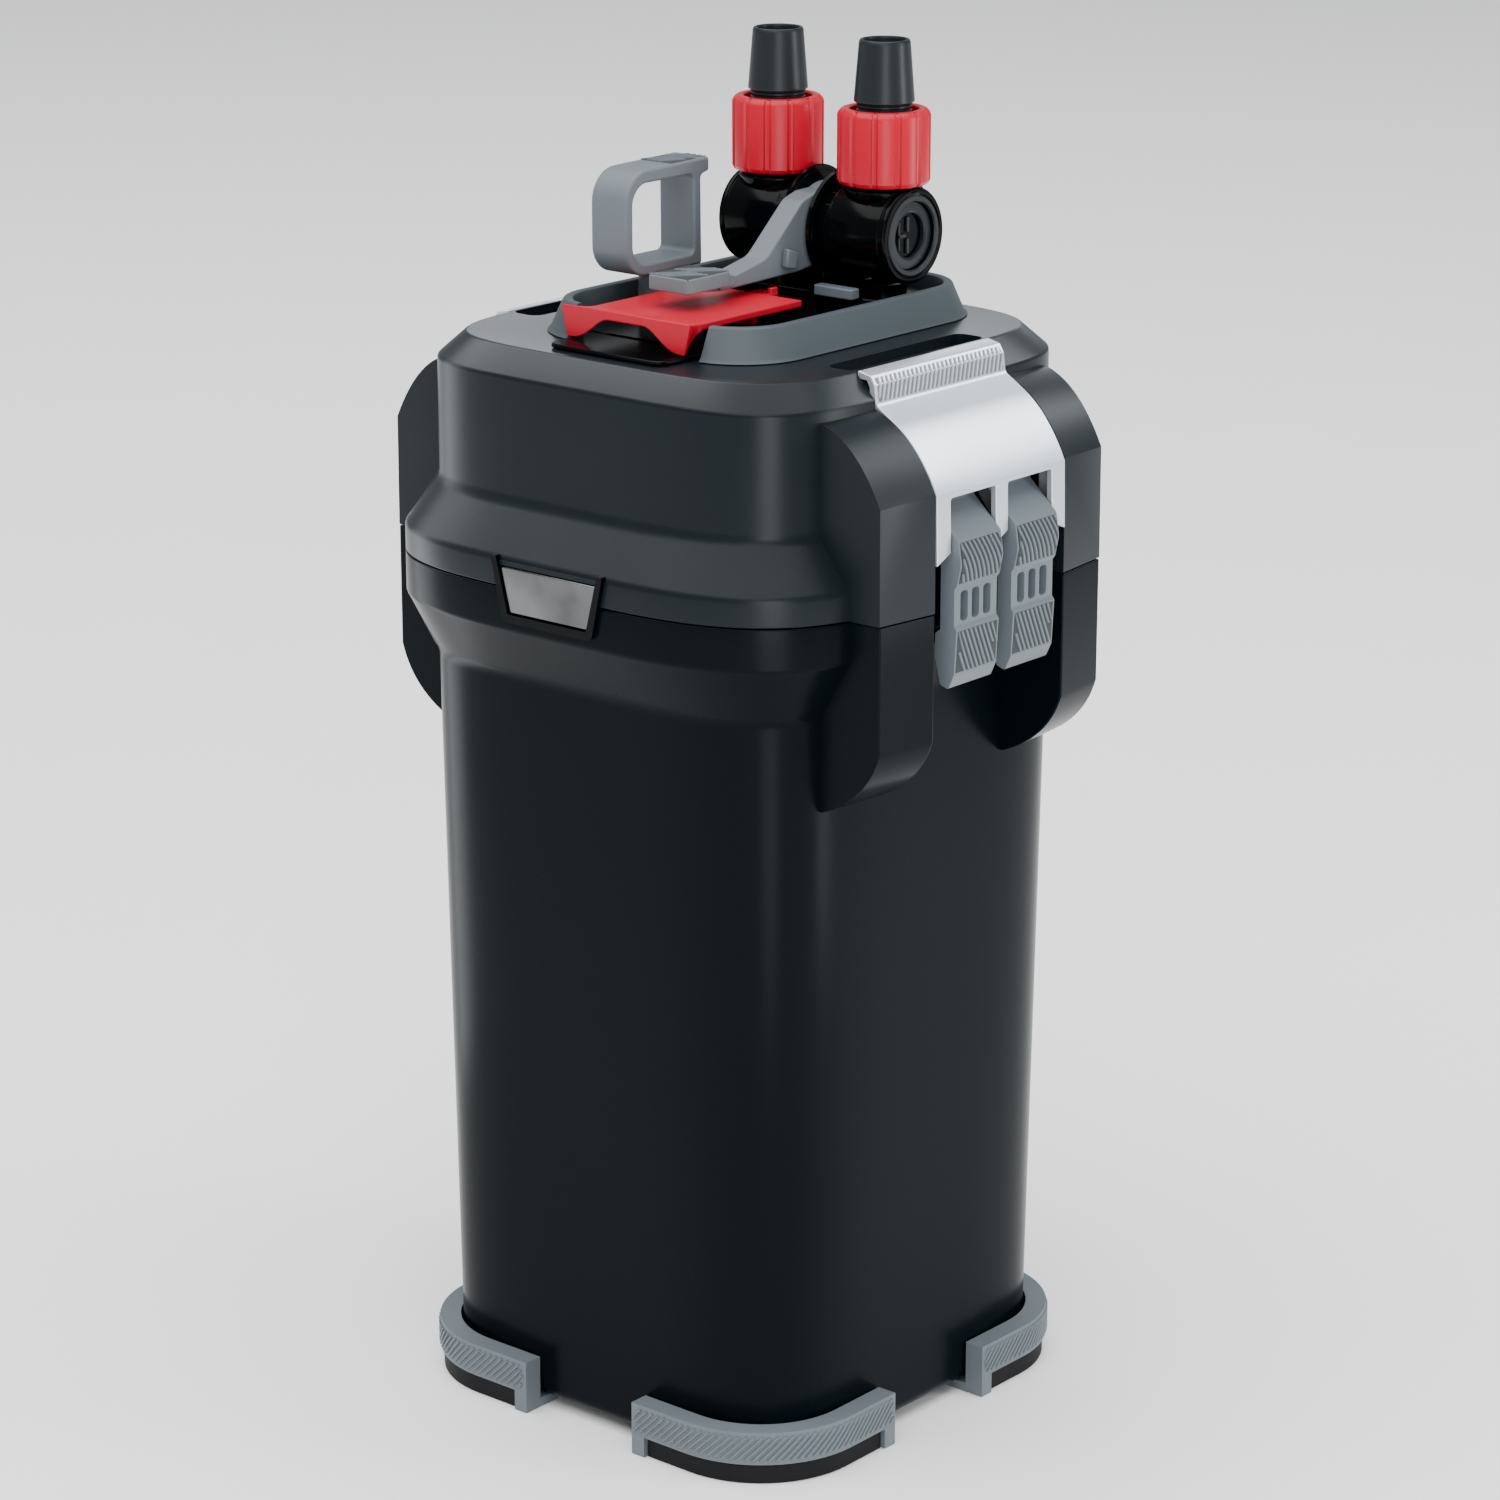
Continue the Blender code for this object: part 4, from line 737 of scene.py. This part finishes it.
def latches():
    profile = [(86.4, 304.0, 0), (86.2, 298.0, 2.0), (94.2, 288.0, 2.0), (94.2, 263.0, 0.4),
               (92.4, 261.6, 0.3), (92.4, 254.6, 0.4), (94.4, 246.4, 1.0), (97.4, 245.4, 0.8),
               (99.5, 250.0, 1.0), (100.2, 263.4, 0.5), (99.3, 264.6, 0.4), (99.3, 275.6, 0.4),
               (100.2, 276.8, 0.5), (101.5, 283.0, 6.0), (100.4, 290.0, 1.2), (90.4, 299.2, 2.0),
               (90.2, 304.0, 0)]
    for side, name in SIDES:
        node = "latch_" + name
        centre = (side * 88.0 * MM, 0.0, 306.0 * MM)
        barrel = piece("latch_barrel_" + name,
                       ring(mm([(3.6, -23.7), (3.6, 23.7), (1.9, 23.7), (1.9, -23.7)]),
                                                   centre, "Y", 48), node)
        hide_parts(node)
        for front, place in ((1, "rear"), (-1, "front")):
            outline = mirror(mm(rounded_path(profile, 4)), side)
            y0, y1 = ordered(front * 3.5 * MM, front * 23.7 * MM)
            finger = piece(f"latch_finger_{place}_{name}", prism(outline, "Y", y0, y1), node)
            cuts = [rod([(3.4 * MM, y0 - MM), (3.4 * MM, y1 + MM)], centre, "Y", 48)]
            for k in range(3):
                middle = (y0 + y1) / 2.0 + (k - 1) * 5.4 * MM
                hole = rounded_path([(middle - 1.75 * MM, 265.6 * MM, 1.2 * MM),
                                     (middle + 1.75 * MM, 265.6 * MM, 1.2 * MM),
                                     (middle + 1.75 * MM, 274.6 * MM, 1.2 * MM),
                                     (middle - 1.75 * MM, 274.6 * MM, 1.2 * MM)])
                cuts.append(prism(hole, "X", *ordered(side * 96.4 * MM, side * 105.0 * MM)))
            boolean(finger, cuts)
            bevel(finger, 0.35 * MM, 3, 34.0)

            def upper(u, v, h):
                bulge = 100.35 * MM + 1.15 * MM * math.sin(math.pi * min(1.0, v / (12.6 * MM)))
                return (side * (bulge + h), y0 + 0.7 * MM + u, 277.3 * MM + v)

            def lower(u, v, h):
                return (side * (99.6 * MM + 0.045 * v + h), y0 + 0.7 * MM + u, 250.6 * MM + v)
            wide = y1 - y0 - 1.4 * MM
            ribbed(f"latch_pad_high_{place}_{name}", node, GROOVE_SHADE_GREY, upper, wide, 12.2 * MM, 2.0 * MM,
                   -0.5 * side, 1.3 * MM, 0.45 * MM, 8)
            ribbed(f"latch_pad_low_{place}_{name}", node, GROOVE_SHADE_GREY, lower, wide, 12.4 * MM, 2.0 * MM,
                   -0.5 * side, 1.3 * MM, 0.45 * MM)


# ------------------------------------------------------------------ primer, lever and valve

def primer():
    outline = rounded_path(mm([(-26.4, 351.0, 9.0), (8.6, 351.0, 1.0), (8.2, 378.2, 1.6), (12.0, 379.2, 0.8),
                               (12.0, 383.4, 0.8), (-26.4, 382.8, 10.0)]), 10)
    x = (span("primer_handle")[0].x + span("primer_handle")[1].x) / 2.0
    handle = piece("primer_grip", prism(outline, "X", x - 7.0 * MM, x + 7.0 * MM), "primer_handle")
    hole = rounded_path(mm([(-22.9, 354.6, 6.0), (4.9, 354.6, 2.0), (4.7, 378.9, 2.0),
                            (-22.9, 378.9, 6.6)]), 10)
    boolean(handle, [prism(hole, "X", x - 12.0 * MM, x + 12.0 * MM)])
    bevel(handle, 0.9 * MM, 4, 34.0)
    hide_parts("primer_handle")
    stem = piece("primer_stem", rod(mm([(4.0, 276.4), (4.0, 351.6)]), (x, -7.0 * MM, 0), sides=48),
                 "primer_handle")
    bevel(stem, 0.2 * MM, 1)

    def top(u, v, h):
        return (x - 6.2 * MM + u, -4.5 * MM + v, 383.17 * MM + 0.008 * v + h)
    ribbed("primer_thumb_ribs", "primer_handle", GROOVE_SHADE_GREY, top, 12.4 * MM, 15.8 * MM, 2.2 * MM, 0.5,
           1.5 * MM, 0.42 * MM)


def lever():
    arm = [(-35.0, 351.8, 1.0), (-15.0, 349.4, 8.0), (22.0, 350.2, 4.0), (34.0, 352.0, 0), (40.0, 361.0, 0),
           (36.0, 373.4, 0), (28.5, 373.2, 1.5), (22.5, 371.4, 6.0), (5.5, 356.4, 8.0), (-9.0, 353.4, 4.0),
           (-16.0, 353.0, 0), (-35.0, 353.0, 0)]
    made = piece("lever_arm", prism(mm(rounded_path(arm, 6)), "X", -4.0 * MM, 4.0 * MM), "valve_lever")
    bevel(made, 0.6 * MM, 3, 32.0)
    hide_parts("valve_lever")
    axis = (0.0, VALVE_Y, VALVE_Z)
    hub = piece("lever_hub", rod(mm([(12.6, -4.0), (13.0, -3.6), (13.0, 3.6), (12.6, 4.0)]), axis, "X"),
                "valve_lever")
    bevel(hub, 0.1 * MM, 1)
    piece("lever_axle", rod(mm([(4.8, -6.0), (4.8, 6.0)]), axis, "X", 48), "valve_lever")
    pad_plan = mm(rounded_path([(-8.0, -35.0, 1.4), (8.0, -35.0, 1.4), (8.0, -15.6, 1.0),
                                (-8.0, -15.6, 1.0)], 5))
    pad = piece("lever_pad", prism(pad_plan, "Z", 351.6 * MM, 356.1 * MM), "valve_lever")
    bevel(pad, 0.4 * MM, 3)
    collar_piece = prism(mm([(-17.0, 350.0), (-10.0, 350.6), (-10.0, 353.6), (-15.6, 355.2),
                             (-17.0, 355.2)]), "X",
                         -5.2 * MM, 5.2 * MM)
    bevel(piece("lever_pad_heel", collar_piece, "valve_lever"), 0.4 * MM, 2)

    def top(u, v, h):
        return (-7.6 * MM + u, -34.6 * MM + v, 356.12 * MM + h)
    ribbed("lever_thumb_ribs", "valve_lever", GROOVE_SHADE_GREY, top, 15.2 * MM, 18.6 * MM, 2.2 * MM, 0.9, 1.5 * MM,
           0.42 * MM)
    nub = prism(mm([(12.6, 352.6), (17.2, 351.6), (18.4, 356.6), (13.4, 358.4)]), "X", 3.8 * MM, 6.2 * MM)
    bevel(piece("lever_catch_nub", nub, "valve_lever"), 0.5 * MM, 2)


def valve_body():
    node = "valve_body"
    axis = (0.0, VALVE_Y, VALVE_Z)
    plan = mm(rounded_path([(-31.5, 27.0, 8.0), (31.5, 27.0, 8.0), (31.5, 51.5, 8.0), (-31.5, 51.5, 8.0)], 8))
    base = piece("valve_base", prism(plan, "Z", 338.9 * MM, 343.4 * MM), node)
    cuts = []
    for side, name in SIDES:
        cuts.append(rod(mm([(5.4, 328.0), (5.4, 352.0)]), (side * NOZZLE_X, VALVE_Y, 0), sides=48))
    boolean(base, cuts)
    bevel(base, 0.5 * MM, 2)
    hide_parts(node)
    for side, name in SIDES:
        port = ring(mm([(7.4, 331.4), (7.4, 346.0), (7.0, 346.4), (5.4, 346.4), (5.4, 331.4)]),
                    (side * NOZZLE_X, VALVE_Y, 0), sides=64)
        piece("valve_port_" + name, port, node)
        inner, outer = side * 4.5, side * 6.0
        web = ring(mm([(16.0, inner), (16.4, inner + side * 0.4), (16.4, outer - side * 0.3), (16.0, outer),
                       (5.2, outer), (5.2, inner)]), axis, "X", 128)
        piece("saddle_web_" + name, web, node)
        leg = box((ordered(inner, outer)[0] * MM, 30.0 * MM, 341.0 * MM),
                  (ordered(inner, outer)[1] * MM, 51.0 * MM, 350.0 * MM))
        bevel(piece("saddle_leg_" + name, leg, node), 0.3 * MM, 2)
        flange_x = side * 5.0
        rim = ring(mm([(16.2, flange_x - side * 0.4), (17.4, flange_x - side * 0.4), (17.8, flange_x),
                       (17.4, flange_x + side * 0.9), (16.2, flange_x + side * 0.9)]), axis, "X", 128)
        piece("saddle_rim_" + name, rim, node)
    plate = piece("catch_plate",
                  prism(mm(rounded_path([(7.0, 24.0, 0.8), (22.0, 24.0, 0.8), (22.0, 28.2, 0.8),
                                                        (7.0, 28.2, 0.8)])), "Z", 343.0 * MM, 346.2 * MM),
                  node, M["trim_grey"])
    bevel(plate, 0.4 * MM, 2)


def sleeves():
    for side, name in SIDES:
        node = "hose_sleeve_" + name
        axis = (side * NOZZLE_X, VALVE_Y, VALVE_Z)
        profile = rounded_path([(10.4, 6.4, 0), (14.7, 6.4, 0.5), (14.7, 29.8, 0.2), (14.35, 30.0, 0.1),
                                (14.35, 30.4, 0.1), (14.75, 30.6, 0.2), (14.75, 32.1, 0.5),
                                (14.0, 32.7, 0.3), (12.9, 32.7, 0.2), (12.6, 32.2, 0.1), (10.4, 32.2, 0.1)],
                                3)
        sleeve = piece("sleeve_" + name,
                       ring([(r * MM, side * x * MM) for r, x in profile], axis, "X", 128), node)
        column = (side * NOZZLE_X, VALVE_Y, 0.0)
        boolean(sleeve, [rod(mm([(6.0, VALVE_Z / MM + 2.0), (6.0, 392.0)]), column, sides=48),
                         rod(mm([(6.0, 344.0), (6.0, VALVE_Z / MM - 2.0)]), column, sides=48)])
        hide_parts(node)
        neck = rounded_path([(6.0, 373.2, 0), (11.6, 372.8, 0.4), (12.2, 375.4, 0.8), (9.4, 376.2, 0.5),
                             (9.4, 388.0, 0.3), (6.0, 388.0, 0)], 4)
        piece("sleeve_neck_" + name, ring(mm(neck), column, sides=96), node)
        lip = ring([(r * MM, side * x * MM) for r,
                    x in ((12.3, 32.0), (12.3, 32.5), (12.0, 32.7), (10.8, 32.7), (10.4, 32.3),
                                                       (10.4, 31.6), (11.4, 31.6))], axis, "X", 128)
        piece("sleeve_face_" + name, lip, node, M["nozzle_slate"])
        for k in range(4):
            turn = math.radians(52.0 - 17.0 * k)
            for part_index, (x0, x1, spread) in enumerate(((8.2, 10.4, 0.010), (10.2, 10.6, 0.085))):
                rows = []
                for x in (x0, x1):
                    rows.append([(side * x * MM, VALVE_Y - (14.6 + h) * MM * math.cos(turn + a),
                                  VALVE_Z + (14.6 + h) * MM * math.sin(turn + a))
                                 for a, h in ((-spread, 0.0), (-spread, 0.26), (spread, 0.26),
                                              (spread, 0.0))])
                piece(f"sleeve_tick_{name}_{k}_{part_index}", loft(rows), node)
        rotor = piece("rotor_" + name,
                      rod([(r * MM, side * x * MM) for r, x in ((9.6, 6.6), (10.0, 7.0), (10.0, 29.6),
                                                                                 (9.8, 29.8))], axis, "X",
                                                                                 96),
                      "valve_rotor_" + name)
        boolean(rotor, [rod(mm([(5.6, 340.0), (5.6, 385.0)]), column, sides=48)])
        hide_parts("valve_rotor_" + name)
        hoop = ring([(r * MM, side * x * MM) for r,
                     x in ((10.1, 29.4), (10.1, 31.2), (7.6, 31.4), (6.9, 31.0), (6.9, 29.4))],
                    axis, "X", 96)
        piece("rotor_ring_" + name, hoop, "valve_rotor_" + name, M["nozzle_slate"])
        bars = ((-0.6, 0.6, -5.6, -1.0), (-0.6, 0.6, 1.0, 5.6), (-4.6, -3.8, -4.4, 4.4),
                (-4.6, -1.0, -0.6, 0.6))
        for k, (y0, y1, z0, z1) in enumerate(bars):
            x0, x1 = ordered(side * 29.6 * MM, side * 30.5 * MM)
            bar = box((x0, VALVE_Y + y0 * MM, VALVE_Z + z0 * MM), (x1, VALVE_Y + y1 * MM, VALVE_Z + z1 * MM))
            bevel(piece(f"rotor_bar_{name}_{k}", bar, "valve_rotor_" + name, M["nozzle_slate"]), 0.15 * MM, 2)


def nozzles_and_nuts():
    for side, name in SIDES:
        column = (side * NOZZLE_X, VALVE_Y, 0.0)
        thread = []
        for k in range(4):
            z = 394.6 + 1.7 * k
            thread += [(8.0, z, 0), (8.45, z + 0.35, 0), (8.45, z + 0.85, 0), (8.0, z + 1.2, 0)]
        profile = [(5.7, 388.4, 0), (8.0, 388.4, 0.3)] + thread + [
            (8.0, 401.0, 0.2), (9.25, 401.4, 0.25), (9.2, 402.2, 0.2), (7.85, 419.0, 0.8), (7.5, 420.0, 0.4),
            (6.7, 420.0, 0.3), (6.5, 419.4, 0.2)]
        nozzle = piece("nozzle_" + name,
                       ring(mm([p[:2] for p in rounded_path(profile, 4)]), column, sides=128),
                       "hose_nozzle_" + name)
        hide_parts("hose_nozzle_" + name)

        panels = 12
        sides = panels * 16

        def rim(i, z):
            slot = i % 16
            if slot < 12:
                return 1.0 - 0.0045 * ((slot - 5.5) / 5.5) ** 2
            return 0.945 if slot in (13, 14) else 0.953
        low = NUT_LOW.z / MM
        high = NUT_HIGH.z / MM
        rows = [(9.9, low), (13.0, low), (13.6, low + 0.3), (14.2, low + 1.4), (14.2, high - 1.9),
                (13.8, high - 1.0), (13.0, high - 0.15), (12.5, high), (10.9, high), (10.5, high - 0.4),
                (10.4, high - 3.0), (8.8, high - 3.2), (8.8, high - 5.0), (9.8, high - 5.4)]

        def point(i, r, z):
            reach = r * MM * (rim(i, z) if r > 12.9 else 1.0)
            angle = 2 * math.pi * (i + 0.5) / sides
            return (column[0] + reach * math.cos(angle), column[1] + reach * math.sin(angle), z * MM)

        rings = [[point(i, r, z) for i in range(sides)] for r, z in rows]
        nut = piece("nut_" + name, loft(rings, closed=True), "lock_nut_" + name, sharp=24.0)
        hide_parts("lock_nut_" + name)


# ------------------------------------------------------------------ inside

def foam():
    for place in ("inner", "outer"):
        node = "foam_pad_" + place
        low, high = span(node)
        shape = bmesh.new()
        bmesh.ops.create_cube(shape, size=1.0)
        bmesh.ops.scale(shape, verts=shape.verts, vec=(high - low) * 0.985)
        bmesh.ops.translate(shape, verts=shape.verts, vec=(low + high) / 2.0)
        bmesh.ops.subdivide_edges(shape, edges=shape.edges, cuts=24, use_grid_fill=True)
        for vert in shape.verts:
            v = vert.co
            wobble = math.sin(v.y * 410.0) * math.sin(v.z * 370.0 + 1.3)
            wobble += 0.5 * math.sin(v.y * 930.0 + v.z * 810.0)
            centre = (low + high) / 2.0
            vert.co.x += -0.00022 * abs(wobble) * (1.0 if v.x > centre.x else -1.0)
        made = piece("foam_block_" + place, shape, node)
        bevel(made, 0.8 * MM, 2, 50.0)
        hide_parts(node)


def keep_inner_nodes():
    """Inner parts keep their CAD shape, with softened edges and their own finish."""
    for node, obj in NODES.items():
        obj.data.materials.clear()
        obj.data.materials.append(M[SLOT_OF[node]])
    for node in ("media_basket_bottom", "media_basket_middle", "media_basket_top", "basket_cover",
                 "basket_handle", "foam_frame", "impeller_cover", "impeller"):
        bevel(NODES[node], 0.35 * MM, 2, 35.0)


# ------------------------------------------------------------------ stage

def floor_and_lights():
    shape = bmesh.new()
    bmesh.ops.create_grid(shape, x_segments=2, y_segments=2, size=6.0)
    mesh = bpy.data.meshes.new("floor")
    shape.to_mesh(mesh)
    shape.free()
    floor = bpy.data.objects.new("floor", mesh)
    bpy.context.scene.collection.objects.link(floor)
    floor.location.z = CAD_LOW[2] - 0.0002
    mesh.materials.append(plastic("floor_white", (0.93, 0.93, 0.93), 0.7, mottle=0.0, bump=0.0))
    world = bpy.data.worlds.new("studio")
    bpy.context.scene.world = world
    world.use_nodes = True
    world.node_tree.nodes["Background"].inputs["Color"].default_value = (0.95, 0.98, 1.0, 1.0)
    world.node_tree.nodes["Background"].inputs["Strength"].default_value = 0.45
    shell = bpy.data.collections.new("shell_only")
    for obj in bpy.context.scene.objects:
        if obj.name.startswith(("canister_body", "lid_body", "cheek_", "rim_bar_", "silver_cover_")):
            shell.objects.link(obj)
    centre = (0.0, 0.0, 0.22)
    lights = [
        ("overhead", (0.0, -0.6, 3.2), centre, (5.0, 5.0), 330.0, None),
        ("behind", (-1.1, 1.7, 1.0), centre, (1.6, 0.5), 9.0, shell),
        ("crown_left", (-0.85, -0.15, 1.25), (0.0, 0.0, 0.32), (0.7, 0.9), 15.0, shell),
        ("strip_right", (1.5, 0.80, 0.45), centre, (0.35, 1.3), 16.0, None),
        ("front", (1.25, -1.25, 0.55), centre, (0.7, 1.1), 12.0, None),
        ("corner_left", (-0.29, -0.12, 0.22), (-0.06, -0.07, 0.22), (0.10, 0.44), 0.6, shell),
        ("corner_front", (0.30, -0.27, 0.20), (0.07, -0.07, 0.20), (0.13, 0.40), 0.8, shell),
        ("edge_right", (0.42, 0.12, 0.17), (0.07, 0.03, 0.20), (0.06, 0.34), 0.6, shell),
        ("flank_right", (0.66, 1.15, 1.20), (0.09, 0.0, 0.31), (0.9, 0.7), 24.0, shell),
    ]
    for name, place, target, size, power, receivers in lights:
        data = bpy.data.lights.new(name, "AREA")
        data.shape = "RECTANGLE"
        data.size, data.size_y = size
        data.energy = power
        data.color = (0.93, 0.97, 1.0) if receivers else (1.0, 1.0, 1.0)
        lamp = bpy.data.objects.new(name, data)
        bpy.context.scene.collection.objects.link(lamp)
        lamp.location = place
        aim = Vector(target) - Vector(place)
        lamp.rotation_euler = aim.to_track_quat("-Z", "Y").to_euler()
        if receivers:
            lamp.visible_camera = False
            lamp.light_linking.receiver_collection = receivers


def camera():
    azimuth = math.radians(40.23)
    elevation = math.radians(16.885)
    distance = 1.4134
    target = Vector((0.0, 0.0, 0.2))
    back = Vector((math.sin(azimuth) * math.cos(elevation), -math.cos(azimuth) * math.cos(elevation),
                   math.sin(elevation)))
    data = bpy.data.cameras.new("camera")
    data.lens = 109.46
    data.sensor_width = 36.0
    data.shift_x = 0.0038
    data.shift_y = 0.0056
    view = bpy.data.objects.new("camera", data)
    bpy.context.scene.collection.objects.link(view)
    view.location = target + back * distance
    view.rotation_euler = (-back).to_track_quat("-Z", "Y").to_euler()
    bpy.context.scene.camera = view


camera()
keep_inner_nodes()
canister()
feet()
lid()
badge()
collar()
deck()
tongue()
clamp_covers()
latches()
primer()
lever()
valve_body()
sleeves()
nozzles_and_nuts()
foam()
floor_and_lights()
